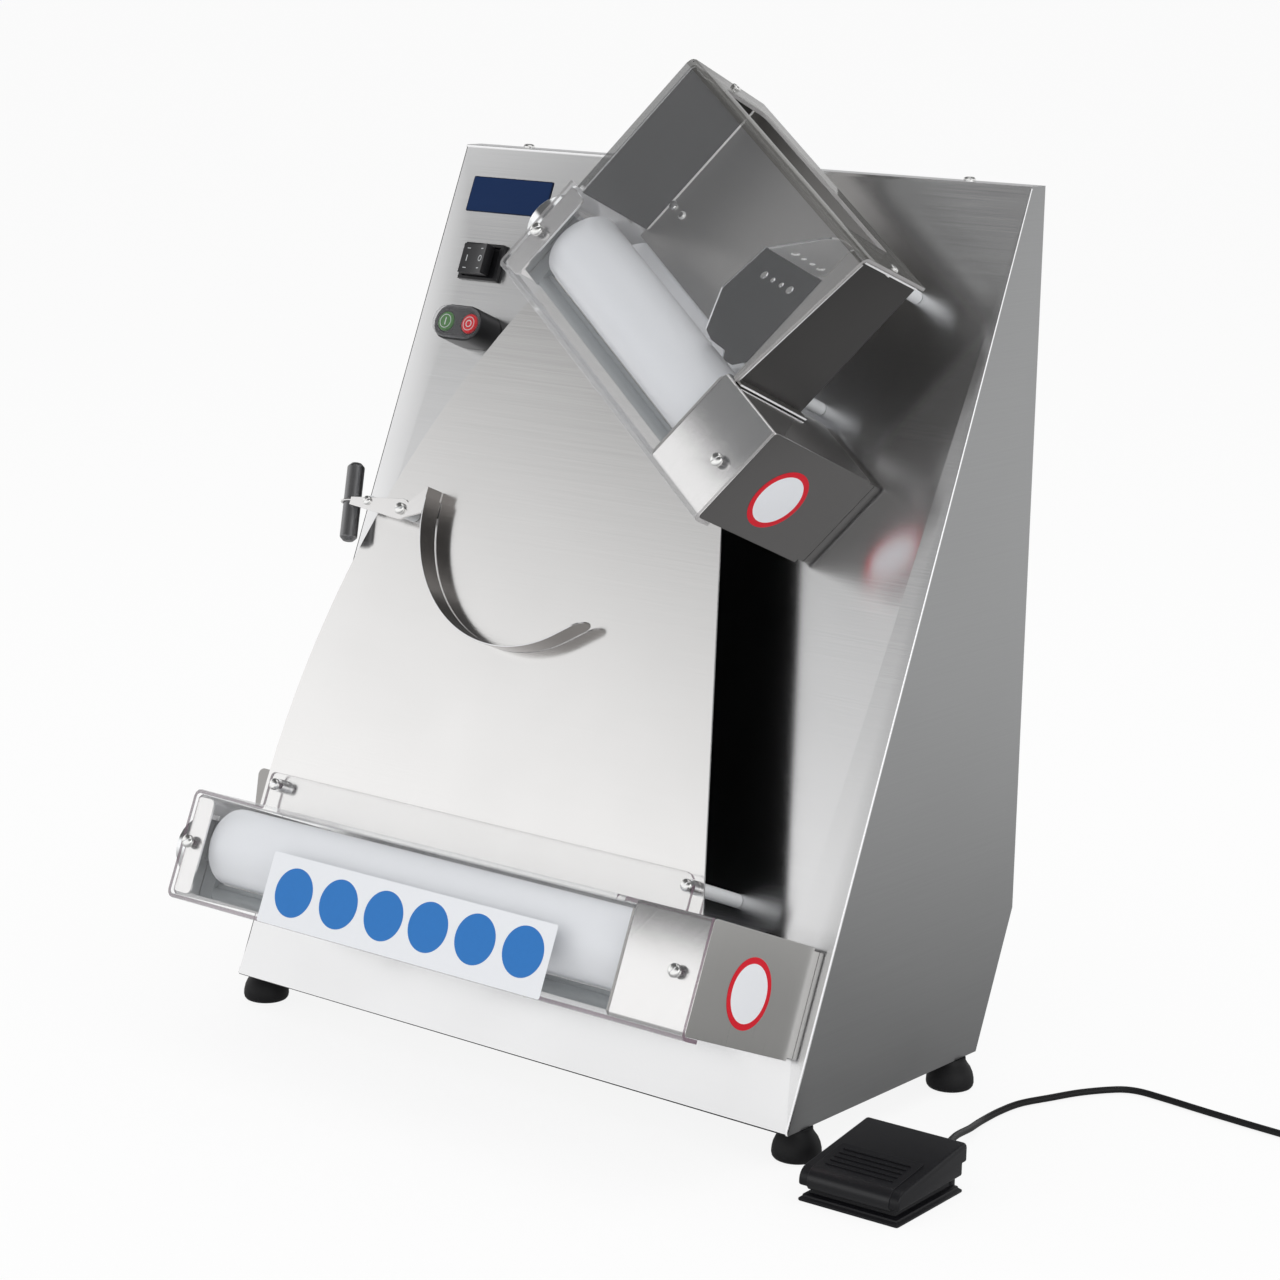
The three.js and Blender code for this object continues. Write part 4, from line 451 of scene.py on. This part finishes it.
def catmull(points, count):
    """Centripetal curve through the points, in count steps that are even in its own parameter."""
    ends = [points[0] * 2 - points[1]] + points + [points[-1] * 2 - points[-2]]
    made = []
    for i in range(count + 1):
        place = (len(points) - 1) * i / count
        k = min(int(place), len(points) - 2)
        p = ends[k:k + 4]
        dt = [max((p[j + 1] - p[j]).length_squared ** 0.25, 1e-4) for j in range(3)]
        t = place - k
        m1 = ((p[1] - p[0]) / dt[0] - (p[2] - p[0]) / (dt[0] + dt[1]) + (p[2] - p[1]) / dt[1]) * dt[1]
        m2 = ((p[2] - p[1]) / dt[1] - (p[3] - p[1]) / (dt[1] + dt[2]) + (p[3] - p[2]) / dt[2]) * dt[1]
        made.append(p[1] + m1 * t + (-p[1] * 3 + p[2] * 3 - m1 * 2 - m2) * t ** 2
                    + (p[1] * 2 - p[2] * 2 + m1 + m2) * t ** 3)
    return made


def coil():
    """Spiral in to the last turn on the floor, up one layer, and out again on top."""
    made = [Vector((COIL_X - COIL_IN, COIL_Y, LYING))]
    for i in range(COIL_TURNS * 2 * COIL_STEPS + 1):
        turns = i / COIL_STEPS
        radius = COIL_RADIUS - COIL_PITCH * (COIL_TURNS - abs(turns - COIL_TURNS))
        share = min(max((turns - COIL_TURNS + CLIMB / 2) / CLIMB, 0), 1)
        angle = turns * 2 * pi - pi / 2
        made.append(Vector((COIL_X + cos(angle) * radius, COIL_Y + COIL_RADIUS + sin(angle) * radius,
                            LYING + share * share * (3 - 2 * share) * COIL_PITCH)))
    return made + [Vector((COIL_X + COIL_OUT, COIL_Y, LYING + COIL_PITCH))]


relief = [to(BODY, PEDAL @ RELIEF @ Vector((0, 0, reach))) for reach in RELIEF_REACH]
route = [Vector((x, y, z + FLOOR)) for x, y, z in ROUTE]
cord_points = [BODY @ point for point in catmull(relief + route, ROUTE_STEPS) + coil()]
curve = bpy.data.curves.new("pedal_lead", "CURVE")
curve.dimensions = "3D"
curve.bevel_depth = CORD / 2 * MM
curve.bevel_resolution = 4
curve.use_fill_caps = True
spline = curve.splines.new("POLY")
spline.points.add(len(cord_points) - 1)
for point, place in zip(spline.points, cord_points):
    point.co = (*place, 1)
spline.use_smooth = True
curve.materials.append(cord_black)
lead = new_object("pedal_lead", curve)
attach(lead, "machine")
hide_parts("pedal_cord", "pedal_cord_coil")
cord_length = sum((b - a).length for a, b in zip(cord_points, cord_points[1:]))
connector = dress("pedal_connector", [black_plastic], 0.6)
tuple(cord_points[0])


# ---------------------------------------------------------------- body, covers and feet
SHEET_SEEN = 0.004  # a face with more than this behind it is the cut edge of a sheet
CLEAR_SEEN = 0.0045  # the same for the thicker clear sheets
SHELL_SEEN = 0.006  # the same for the body
SIDE_FOLD, LOW_FOLD = 1.7, 2.2  # radii
FOLD_TOP = 0.652  # the side folds end at this height, just under the body's top


def body_slot(middle, normal, depth):
    front, side, back, edge, fold = range(5)
    forward = normal.dot(N)
    # painted shade: faces of the bottom fold that turn down, and of the left-hand folds, get near-black
    # steel
    if normal.z < -0.2 and normal.y < -0.1 or -0.98 < normal.x < -0.1 and forward > 0.1:
        return fold
    # cut edges get the pale steel; the faces of the right-hand folds get it too, as a painted highlight
    if depth > SHELL_SEEN or 0.2 < normal.x < 0.98 and forward > 0.1:
        return edge
    if abs(normal.x) > 0.9:
        # the body's outer sides get the darker, painted-shade steel
        return side if abs(to(BODY, middle).x) > BODY_HALF - 1 else edge
    return front if forward > 0.9 and to(PANEL, middle).z > -0.2 else back


def side_fold(middle, along, length):
    place = to(PANEL, middle)
    return (abs(place.x) > BODY_HALF - 0.5 and place.z > -1 and length > 12 * MM
            and abs(along.dot(V)) > 0.999)


def low_fold(middle, along, length):
    place = to(BODY, middle)
    return place.z < 0.2 and place.y < 1 and length > 400 * MM


dress("body_shell", [steel_front, steel_shaded_side, steel_back, steel_edge_and_highlight, steel_shaded_bend], 0.07,
      body_slot, ((side_fold, SIDE_FOLD), (low_fold, LOW_FOLD)), cut=FOLD_TOP)
dress("rear_cover", [steel_back], 0.2, limit=15)
dress("base_plate", [steel_back], 0.2)
FOOT = [(15, 0), (16, 0.5), (17.1, 1.9), (17.6, 4), (17.4, 7.4), (16.5, 11.4), (14.8, 15.2), (12.6, 18.2),
        (11.2, 20.5), (11, 22.8), (4, 22.9), (4, 31)]
for name in ("foot_front_left", "foot_front_right", "foot_rear_left", "foot_rear_right"):
    low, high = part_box(name)
    bm = bmesh.new()
    lathe(bm, FOOT, 48)
    finish_mesh(bm, name + "_form", [black_rubber], "machine", crease=50, node=name,
                group=move((low.x + high.x) / 2, (low.y + high.y) / 2, 0) @ MILLI)


# ---------------------------------------------------------------- roller units and their guards
def unit_slots(group):
    front, right, edge = range(3)

    def choose(middle, normal, depth):
        # painted shade: faces that look to the unit's right take the darker side steel
        if (group.to_3x3().inverted() @ normal).normalized().x > 0.8:
            return right
        return edge if depth > SHEET_SEEN else front
    return choose


# Each unit's right-hand faces take a darker copy of the steel, as painted shade
for unit, group, side_shade in (("lower", LOWER, steel_shaded_lower_side), ("upper", UPPER, steel_shaded_upper_side)):
    for name, materials in (("left_plate", [steel_unit, steel_unit, steel_edge_and_highlight]),
                            ("bearing_bracket", [steel_hopper_shaded, side_shade, steel_hopper_shaded]),
                            ("gear_housing", [steel_unit, side_shade, steel_edge_and_highlight])):
        dress(f"{unit}_{name}", materials, 0.3, unit_slots(group))
    for name, slot, material, bevel in (
            ("rear_roller", "white_plastic", roller_white, 0.5),
            ("front_roller", "white_plastic", roller_white, 0.5),
            ("rear_shaft", "bright_steel", shaft_steel, 0.2),
            ("front_shaft", "bright_steel", shaft_steel, 0.2),
            ("carriage", "cast_grey", cast, 0.4), ("gap_knob", "aluminium", polished, 0.2)):
        dress(f"{unit}_{name}", [material], bevel)


def guard_slots(middle, normal, depth):
    face, edge = range(2)
    return edge if depth > CLEAR_SEEN else face


def hood_slots(middle, normal, depth):
    """The hood's left wall and its top get darker, less clear copies of its sheet: painted shade."""
    face, edge, top_shade, wall_shade = range(4)
    place = to(UPPER, middle)
    if depth > CLEAR_SEEN:
        return edge
    if place.x < -272 and place.y > 84 and abs(normal.dot(A)) > 0.9:
        return wall_shade
    return top_shade if place.y > 204 else face


dress("lower_guard", [guard_clear, guard_edge], 0.35, guard_slots)
dress("upper_guard", [hood_clear, hood_edge, hood_top_shade, hood_wall_shade], 0.5, hood_slots)


# ---------------------------------------------------------------- hopper and chute
def hopper_slots(middle, normal, depth):
    face, wall, edge, flare = range(4)
    lean = abs(normal.dot(A))
    # painted highlight: faces at a slant to the rollers get the near-white steel
    if 0.2 < lean < 0.985:
        return flare
    if depth > SHEET_SEEN:
        return edge
    # walls that face along the rollers get the near-black painted reflection
    return wall if lean > 0.95 else face


def hopper_fold(middle, along, length):
    place = to(UPPER, middle)
    return abs(along.dot(B)) > 0.99 and length > 60 * MM and place.x < -250 and place.z < 60


def chute_slots(middle, normal, depth):
    front, back, edge = range(3)
    if depth > SHEET_SEEN:
        return edge
    # the chute's back faces get near-black steel, a painted shadow
    return back if normal.dot(N) < -0.5 else front


for name in ("hopper_shell", "hopper_side_wall", "hopper_guide"):
    dress(name, [steel_hopper_shaded, steel_wall_mirror_shade, steel_edge_and_highlight, steel_highlight], 0.15, hopper_slots,
          [(hopper_fold, 1.3)] if name == "hopper_shell" else ())
dress("chute_plate", [steel_chute, steel_shadow, steel_edge_and_highlight], 0.2, chute_slots)
for name in NODES:
    if "standoff" in name:
        dress(name, [standoff_white], 0.3)


# ---------------------------------------------------------------- catch
def arm_slots(middle, normal, depth):
    face, edge = range(2)
    return edge if abs(normal.dot(U)) > 0.8 and to(PANEL, middle).x > CATCH_U + 15 else face


# The strip is an arc and a straight tail whose tip is rounded
BOW_X, BOW_Y, BOW_RADIUS, BOW_END, BOW_STEPS = 122, 12, 100, radians(123), 48
TAIL, TIP, TAIL_STEPS = 25, 8.5, 14
STRIP_N, STRIP_HALF, STRIP_SHEET = 63.25, 8.75, 1
CLAMP = move(-35, 2, 0)  # the arm's second screw


def strip_path():
    """Middle, outward direction and share of the full width, from the arm to the tip."""
    made = []
    for i in range(BOW_STEPS + 1):
        angle = pi + BOW_END * i / BOW_STEPS
        out = Vector((cos(angle), sin(angle)))
        made.append((Vector((BOW_X, BOW_Y)) + out * BOW_RADIUS, out, 1.0))
    middle, out, _ = made[-1]
    for i in range(1, TAIL_STEPS + 1):
        reach = TAIL * (1 - (1 - i / TAIL_STEPS) ** 2)
        end = max((reach - TAIL + TIP) / TIP, 0)
        made.append((middle + Vector((-out.y, out.x)) * reach, out, sqrt(max(1 - end * end, 0.02))))
    return made


dress("catch_pivot", [standoff_white], 0.3)
dress("catch_arm", [steel_unit, steel_strip], 0.12, arm_slots)
bm = bmesh.new()
rings = [[(*(middle + out * side * STRIP_SHEET / 2), STRIP_N + wide * STRIP_HALF * rise)
          for side, rise in ((-1, -1), (1, -1), (1, 1), (-1, 1))] for middle, out, wide in strip_path()]
loft(bm, rings, CATCH)
bmesh.ops.recalc_face_normals(bm, faces=bm.faces)
bm.normal_update()
for face in bm.faces:
    face.material_index = 1 if abs(face.normal.dot(N)) > 0.5 else 0
finish_mesh(bm, "catch_strip_form", [steel_strip, steel_edge_and_highlight], "catch", node="catch_strip",
            bevel=0.15)
dress("catch_counterweight", [weight_steel], 0.6)
bm = bmesh.new()
lathe(bm, [(4.6, 55.5), (4.6, 69)], 28, CLAMP)
finish_mesh(bm, "clamp_sleeve", [standoff_white], "catch", CATCH, bevel=0.3)


# ---------------------------------------------------------------- drive, gland, socket and switches
def low_rim(point):
    """Lowers what stands out of the front to a third."""
    place = to(PANEL, point)
    return PANEL @ Vector((place.x, place.y, place.z * 0.3 if place.z > 0 else place.z))


for slot, material, bevel, names in (
        ("cast_grey", shaft_steel, 0.4, ("drive_shaft", "lay_shaft")),
        ("cast_grey", cast, 0.4, ("lay_shaft_bracket", "gear_motor")),
        ("belt_green", belt_green, 0, ("lower_belt", "upper_belt", "cross_belt")),
        ("black_plastic", black_plastic, 0.4,
         ("mains_gland", "pedal_socket", "switch_key", "button_housing")),
        ("green_plastic", button_green, 0.4, ("start_button",)),
        ("red_plastic", button_red, 0.4, ("stop_button",))):
    for name in names:
        dress(name, [material], bevel)
dress("switch_bezel", [black_plastic], 0.5, shape=low_rim)

# ---------------------------------------------------------------- foot pedal
SKIRT_HALF, SKIRT_BACK = 39.2, 41.55
SKIRT = [(0.4, 0), (0, 0.5), (0, 1.7), (1.9, 3.2), (2.1, 4.3), (4.9, 5.4), (5.6, 5.6), (6.2, 12.5),
         (7, 13)]  # inset and height: the flared foot and the block inside it
TREADLE_HALF, TREADLE_WALL, TREADLE_BEVEL = 39.3, 3, 1.8
NOSE, NOSE_RADIUS, NOSE_HEIGHT = -41.2, 9.5, 14.5
HEEL, HEEL_RADIUS, HEEL_HEIGHT = 45.5, 4.4, 30.4
TREADLE_SLOPE = atan2(10.7, 65.2)
RIB_PITCH, RIB_WIDTH = 5.6, 1.6


def hollow(outer, inner, bevel):
    """Outer prism with bevelled edges less the inner one, as one mesh."""
    pieces = []
    for profile, half in (outer, inner):
        bm = bmesh.new()
        prism(bm, profile, -half, half, TO_X)
        bmesh.ops.recalc_face_normals(bm, faces=bm.faces)
        mesh = bpy.data.meshes.new("treadle")
        bm.to_mesh(mesh)
        bm.free()
        pieces.append(new_object("treadle", mesh))
    modifier = pieces[0].modifiers.new("edges", "BEVEL")
    modifier.width, modifier.segments, modifier.angle_limit = bevel, 4, radians(35)
    modifier = pieces[0].modifiers.new("cavity", "BOOLEAN")
    modifier.operation, modifier.object, modifier.solver = "DIFFERENCE", pieces[1], "EXACT"
    bpy.context.view_layer.update()
    evaluated = pieces[0].evaluated_get(bpy.context.evaluated_depsgraph_get())
    bm = bmesh.new()
    bm.from_mesh(evaluated.to_mesh())
    evaluated.to_mesh_clear()
    for piece in pieces:
        bpy.data.objects.remove(piece)
    return bm


bm = bmesh.new()
loft(bm, [[(x, y, z) for x, y in round_rect(inset - SKIRT_HALF, SKIRT_HALF - inset, inset - SKIRT_BACK,
                                            SKIRT_BACK - inset, 1.6, 4)] for inset, z in SKIRT])
finish_mesh(bm, "pedal_base_form", [black_pedal], "machine", PEDAL, "pedal_base", bevel=0.25,
            limit=20)
bm = bmesh.new()
prism(bm, round_rect(-34.2, 34.2, 33.75, 39.75, 1, 3), 2.7, 20)
lathe(bm, [(5, -2), (5, 2.8), (4.6, 4), (3.6, 11)], 28, RELIEF)
finish_mesh(bm, "pedal_heel", [black_pedal], "machine", PEDAL, bevel=0.3)
nose_middle = (NOSE + NOSE_RADIUS, NOSE_HEIGHT)
nose_start = pi / 2 + TREADLE_SLOPE
outer = ([(40.2, 12), (40.2, 20.5), (HEEL, 20.5), (HEEL, HEEL_HEIGHT)]
         + arc((HEEL - HEEL_RADIUS, HEEL_HEIGHT), HEEL_RADIUS, 0.15, pi / 2, 4)
         + arc(nose_middle, NOSE_RADIUS, nose_start, pi, 9) + [(NOSE, 11)])
inner = ([(40, 5), (40, 30)] + arc(nose_middle, NOSE_RADIUS - TREADLE_WALL, nose_start, pi, 6)
         + [(NOSE + TREADLE_WALL, 5)])
bm = hollow((outer, TREADLE_HALF), (inner, TREADLE_HALF - TREADLE_WALL), TREADLE_BEVEL)
finish_mesh(bm, "pedal_treadle_form", [black_pedal], "pedal_treadle", PEDAL, "pedal_treadle")
ON_NOSE = PEDAL @ move(0, *nose_middle) @ turn(TREADLE_SLOPE, "X")
INSERT_LOW, INSERT_TOP, INSERT_END, INSERT_HALF = 8.6, 10.2, 35, 32
bm = bmesh.new()
prism(bm, arc((0, 0), INSERT_TOP, pi / 2, pi + TREADLE_SLOPE, 10) + [(-9, -3.6), (-8, -3.6)]
      + list(reversed(arc((0, 0), INSERT_LOW, pi / 2, pi + TREADLE_SLOPE, 10)))
      + [(INSERT_END, INSERT_LOW), (INSERT_END, INSERT_TOP)], -INSERT_HALF, INSERT_HALF, TO_X)
finish_mesh(bm, "treadle_insert", [nose_black], "pedal_treadle", ON_NOSE, bevel=0.4,
            limit=40)
bm = bmesh.new()
for i in range(5):
    rib = 4.4 + RIB_PITCH * i
    prism(bm, round_rect(-26.5, 26.5, rib, rib + RIB_WIDTH, 0.7, 3), 10, 11.2)
finish_mesh(bm, "treadle_ribs", [black_pedal], "pedal_treadle", ON_NOSE, bevel=0.3)


# ---------------------------------------------------------------- slotted screws
DRIVER_SLOT = 0.9
SMALL = 3.6, 2.3  # radius and height of a head
MEDIUM = 4.5, 3.2
LARGE = 4.9, 3.4
GUARD_N, CHUTE_N, HOPPER_N = 137.3, 63.3, 51.5  # faces that heads stand on
HOOD_B, HOOD_N = 208.3, 90  # outer face of the hood's top, and the middle of it


def pan_head(bm, matrix, radius, height):
    """Round head in two halves, with the driver's slot between them."""
    base = height * 0.42
    lathe(bm, [(radius, -0.1), (radius, base)], 28, matrix)
    for side in (0, pi):
        rings = []
        for rise in (k / 5 for k in range(6)):
            r = radius * sqrt(max(1 - (rise * 0.86) ** 2.4, 0))
            start = asin(DRIVER_SLOT / 2 / r)
            rings.append([(x, y, base + (height - base) * rise)
                          for x, y in arc((0, 0), r, start, pi - start, 14)])
        loft(bm, rings, matrix @ turn(side, "Z"))


def screws(name, places, body="machine"):
    """One piece of heads, each from its place, radius, height and the angle of its slot."""
    bm = bmesh.new()
    for place, (radius, height), angle in places:
        pan_head(bm, place @ turn(angle, "Z"), radius, height)
    finish_mesh(bm, name, [bright], body, crease=35)


screws("unit_screws", [
    (LOWER @ move(-476.5, 43.2, GUARD_N), LARGE, 0.5), (LOWER @ move(-18, 43.2, GUARD_N), LARGE, 0.9),
    (UPPER @ move(-277, 40, GUARD_N), LARGE, 1.1), (UPPER @ move(-18, 40, GUARD_N), LARGE, 1.3)])
screws("chute_screws", [
    (LOWER @ move(-476.8, 101.7, CHUTE_N), (4.5, 3.1), 0.2),
    (LOWER @ move(-79.8, 101.7, CHUTE_N), (4.5, 3.1), 0.8), (PANEL @ move(-100, 543, 53.5), SMALL, 0.4)])
screws("body_screws", [
    *[(BODY @ move(x, 268.4, TOP_Z), MEDIUM, 0.3 + x * 0.01) for x in (-207, 207)],
    *[(BODY @ move(x, 277.4, z) @ TO_Y, MEDIUM, x + z) for x in (-249.5, 249.5) for z in (150, 560)]])
screws("hopper_screws", [
    (UPPER @ move(-267.7, 110, HOPPER_N), SMALL, 0.5), (UPPER @ move(-87, 191.7, HOPPER_N), SMALL, 0.9),
    (UPPER @ move(-82, 86, HOPPER_N), SMALL, 1.4), (UPPER @ move(-128, 101, 53.3), SMALL, 0.1),
    (UPPER @ move(-128, 142, 53.3), SMALL, 0.7), (UPPER @ move(-266, HOOD_B, HOOD_N) @ TO_Y, SMALL, 0.6),
    (UPPER @ move(-53.2, HOOD_B, HOOD_N) @ TO_Y, SMALL, 1.0)])
screws("flap_screws", [(CATCH @ CLAMP @ move(0, 0, 71.1), SMALL, 0.6)], "catch")
screws("pivot_screw", [(CATCH @ move(0, 0, 71.4), MEDIUM, 0.3)])


# ---------------------------------------------------------------- plain plates and labels
def flat_piece(name, material, outline, low, high, group=PANEL, bevel=0.05):
    bm = bmesh.new()
    prism(bm, outline, low, high)
    finish_mesh(bm, name, [material], "machine", group, bevel=bevel)


flat_piece("lip_tab", steel_hopper_shaded,
           [(-224, 129), (-222, 158), *arc((-246.5, 153.5), 5, pi / 2, pi, 5), (-246, 129)], 50.4, 51.9)
flat_piece("label_strip", label_white, round_rect(-134, 134.5, 47, 99, 1.5), 137.02, 137.2)
for i, u in enumerate((-105.7, -61.7, -18.1, 23.9, 67.4, 110.8)):
    flat_piece(f"label_disc_{i}", label_blue, circle(u, 73 + 0.5 * i, 18, 48), 137.22, 137.28, bevel=0)
for name, group, centre in (("lower", LOWER, (40.95, 73.9)), ("upper", UPPER, (40.2, 78.2))):
    side = group @ TO_X
    flat_piece(name + "_label_ring", label_red, circle(*centre, 25, 48), 0.02, 0.16, side)
    flat_piece(name + "_label_field", label_white, circle(*centre, 20.5, 48), 0.17, 0.22, side, bevel=0)
flat_piece("name_plate_base", plate_rim, round_rect(-247, -165, 628, 657, 1.2), 0.02, 0.7, bevel=0.15)
flat_piece("name_plate_face", navy, round_rect(-246.2, -165.8, 628.8, 656.2, 0.9), 0.71, 0.8, bevel=0)


# ---------------------------------------------------------------- marks of the switch and the buttons
def bar_mark(bm, middle, half_width, height, half_height, low, high, matrix=Matrix.Identity(4)):
    """Bar round (middle, height)."""
    x0, x1, y0, y1 = middle - half_width, middle + half_width, height - half_height, height + half_height
    prism(bm, [(x0, y0), (x1, y0), (x1, y1), (x0, y1)], low, high, matrix)


def ring_mark(bm, middle, radius, width, low, high, matrix=Matrix.Identity(4)):
    rows = [[bm.verts.new(matrix @ Vector((x, y, z))) for x, y in circle(middle, 0, r, RING_STEPS)]
            for r, z in ((radius, low), (radius, high), (radius - width, high), (radius - width, low))]
    for one, other in zip(rows, rows[1:] + rows[:1]):
        for i in range(RING_STEPS):
            j = (i + 1) % RING_STEPS
            bm.faces.new((one[i], one[j], other[j], other[i]))


RING_STEPS = 28
PRINTED = 0.02, 0.12  # heights of a mark over what it is on
KEY_RIDGE, KEY_SLOPE = 4.5, atan2(7 - 4.5, 14)  # the rocker is lowest in its middle
HALF_MIDDLE = 8.2  # of a half of the rocker
bm = bmesh.new()
for side in (-1, 1):
    half = move(0, 0, KEY_RIDGE) @ turn(-side * KEY_SLOPE, "Y")
    for height in (-8, 8):
        bar_mark(bm, side * HALF_MIDDLE, 1.6, height, 0.3, *PRINTED, half)
    if side < 0:
        bar_mark(bm, side * HALF_MIDDLE, 0.35, 0, 2.6, *PRINTED, half)
    else:
        ring_mark(bm, side * HALF_MIDDLE, 2.5, 0.6, *PRINTED, half)
finish_mesh(bm, "switch_marks", [mark_white], "switch_key", KEY)
for name, u in (("start", START_U), ("stop", STOP_U)):
    bm = bmesh.new()
    ring_mark(bm, 0, 5.6, 0.55, *PRINTED)
    if name == "start":
        bar_mark(bm, 0, 0.45, 0, 3, *PRINTED)
    else:
        ring_mark(bm, 0, 2.9, 0.8, *PRINTED)
    finish_mesh(bm, name + "_mark", [mark_white], name + "_button", PANEL @ move(u, BUTTON_V, BUTTON_N))


# ---------------------------------------------------------------- clear boot over the push-buttons
BOOT_HALF, BOOT_RADIUS = 22.6, 12.6
BOOT = [(0, 25.1), (0, 28.4), (0.5, 29.8), (1.7, 30.8), (3.4, 31.3)]  # inset and height


def stadium(half_width, radius, z):
    straight = half_width - radius
    return [(x, y, z) for x, y in arc((straight, 0), radius, -pi / 2, pi / 2, 14)
            + arc((-straight, 0), radius, pi / 2, pi * 1.5, 14)]


bm = bmesh.new()
loft(bm, [stadium(BOOT_HALF - inset, BOOT_RADIUS - inset, z) for inset, z in BOOT])
finish_mesh(bm, "button_boot", [boot_clear], "machine", PANEL @ move((START_U + STOP_U) / 2, BUTTON_V, 0),
            crease=60)

# ---------------------------------------------------------------- stage
FLOOR_HALF, FLOOR_DROP = 60, -0.0002  # metres; the drop keeps it just under the feet
CAMERA_SHARE = 0.88  # how much of the seen floor is plain glow; the rest takes the shadows
floor_mesh = bpy.data.meshes.new("floor")
corners = ((-1, -1), (1, -1), (1, 1), (-1, 1))
floor_mesh.from_pydata([(x * FLOOR_HALF, y * FLOOR_HALF, FLOOR_DROP) for x, y in corners], [], [range(4)])
floor_pale = surface("floor_pale", (0.94, 0.94, 0.94), rough=0.8, tone=0.006, vary=0.02, grain=(0.5,) * 3)
tree = floor_pale.node_tree
ray = add(tree, "LightPath", {}).outputs
seen = add_math(tree, "ADD", ray["Is Camera Ray"], ray["Is Transmission Ray"])
share = add_math(tree, "MULTIPLY_ADD", seen, CAMERA_SHARE, ray["Is Glossy Ray"], use_clamp=True)
# Mirrored, the floor glows darker near the machine and pale further out: a painted shadow of the machine in
# its reflection
spot = add(tree, "TexCoord", {}).outputs["Object"]
reach = add(tree, "VectorMath", {0: spot}, operation="LENGTH").outputs["Value"]
strength = add_mix(tree, ray["Is Glossy Ray"], 1.0, add_range(tree, reach, 0.2, 1.5, 0.3, 0.95))
glow = add(tree, "Emission", {"Strength": strength}).outputs["Emission"]
blend = add(tree, "MixShader", {"Fac": share, 1: tree.nodes["Principled BSDF"].outputs["BSDF"], 2: glow})
tree.links.new(blend.outputs["Shader"], tree.nodes["Material Output"].inputs["Surface"])
floor_mesh.materials.append(floor_pale)
new_object("floor", floor_mesh)


# ---------------------------------------------------------------- lamps and world
def lamp(name, place, width, height, power, mirrored=True):
    data = bpy.data.lights.new(name, "AREA")
    data.shape = "RECTANGLE"
    data.size, data.size_y, data.energy = width, height, power
    made = new_object(name, data)
    made.location = place
    made.visible_glossy = mirrored
    made.rotation_euler = (Vector(place) - LAMP_TARGET).to_track_quat("Z", "Y").to_euler()


LAMP_TARGET = Vector((0, 0, 0.3))
lamp("key", (-2.6, -2.7, 1.5), 3.2, 2.2, 17, mirrored=False)
lamp("top", (0.6, 0.2, 3.4), 3.0, 3.0, 26)
lamp("right", (3.2, -0.9, 1.5), 2.0, 2.0, 11)

# Metal mirrors a room that is pale low down, dark above and a little darker at the back. All else gets
# an even light, and the camera sees plain white.
EVEN_LIGHT = 0.74
world = bpy.data.worlds.new("studio")
bpy.context.scene.world = world
world.use_nodes = True
tree = world.node_tree
generated = add(tree, "TexCoord", {}).outputs["Generated"]
place = add(tree, "SeparateXYZ", {"Vector": generated}).outputs
rise = add_range(tree, place["Z"], 0.335, 0.505, 1.17, 0.12, interpolation_type="SMOOTHSTEP")
back = add_range(tree, place["Y"], -0.1, 0.9, 1.0, 0.7, interpolation_type="SMOOTHSTEP")
ray = add(tree, "LightPath", {}).outputs
glossy = add_mix(tree, ray["Is Glossy Ray"], EVEN_LIGHT, add_math(tree, "MULTIPLY", rise, back))
seen = add_math(tree, "MAXIMUM", ray["Is Camera Ray"], ray["Is Transmission Ray"])
background = tree.nodes["Background"].inputs
background["Color"].default_value = (1, 1, 1, 1)
tree.links.new(add_mix(tree, seen, glossy, 1.0), background["Strength"])
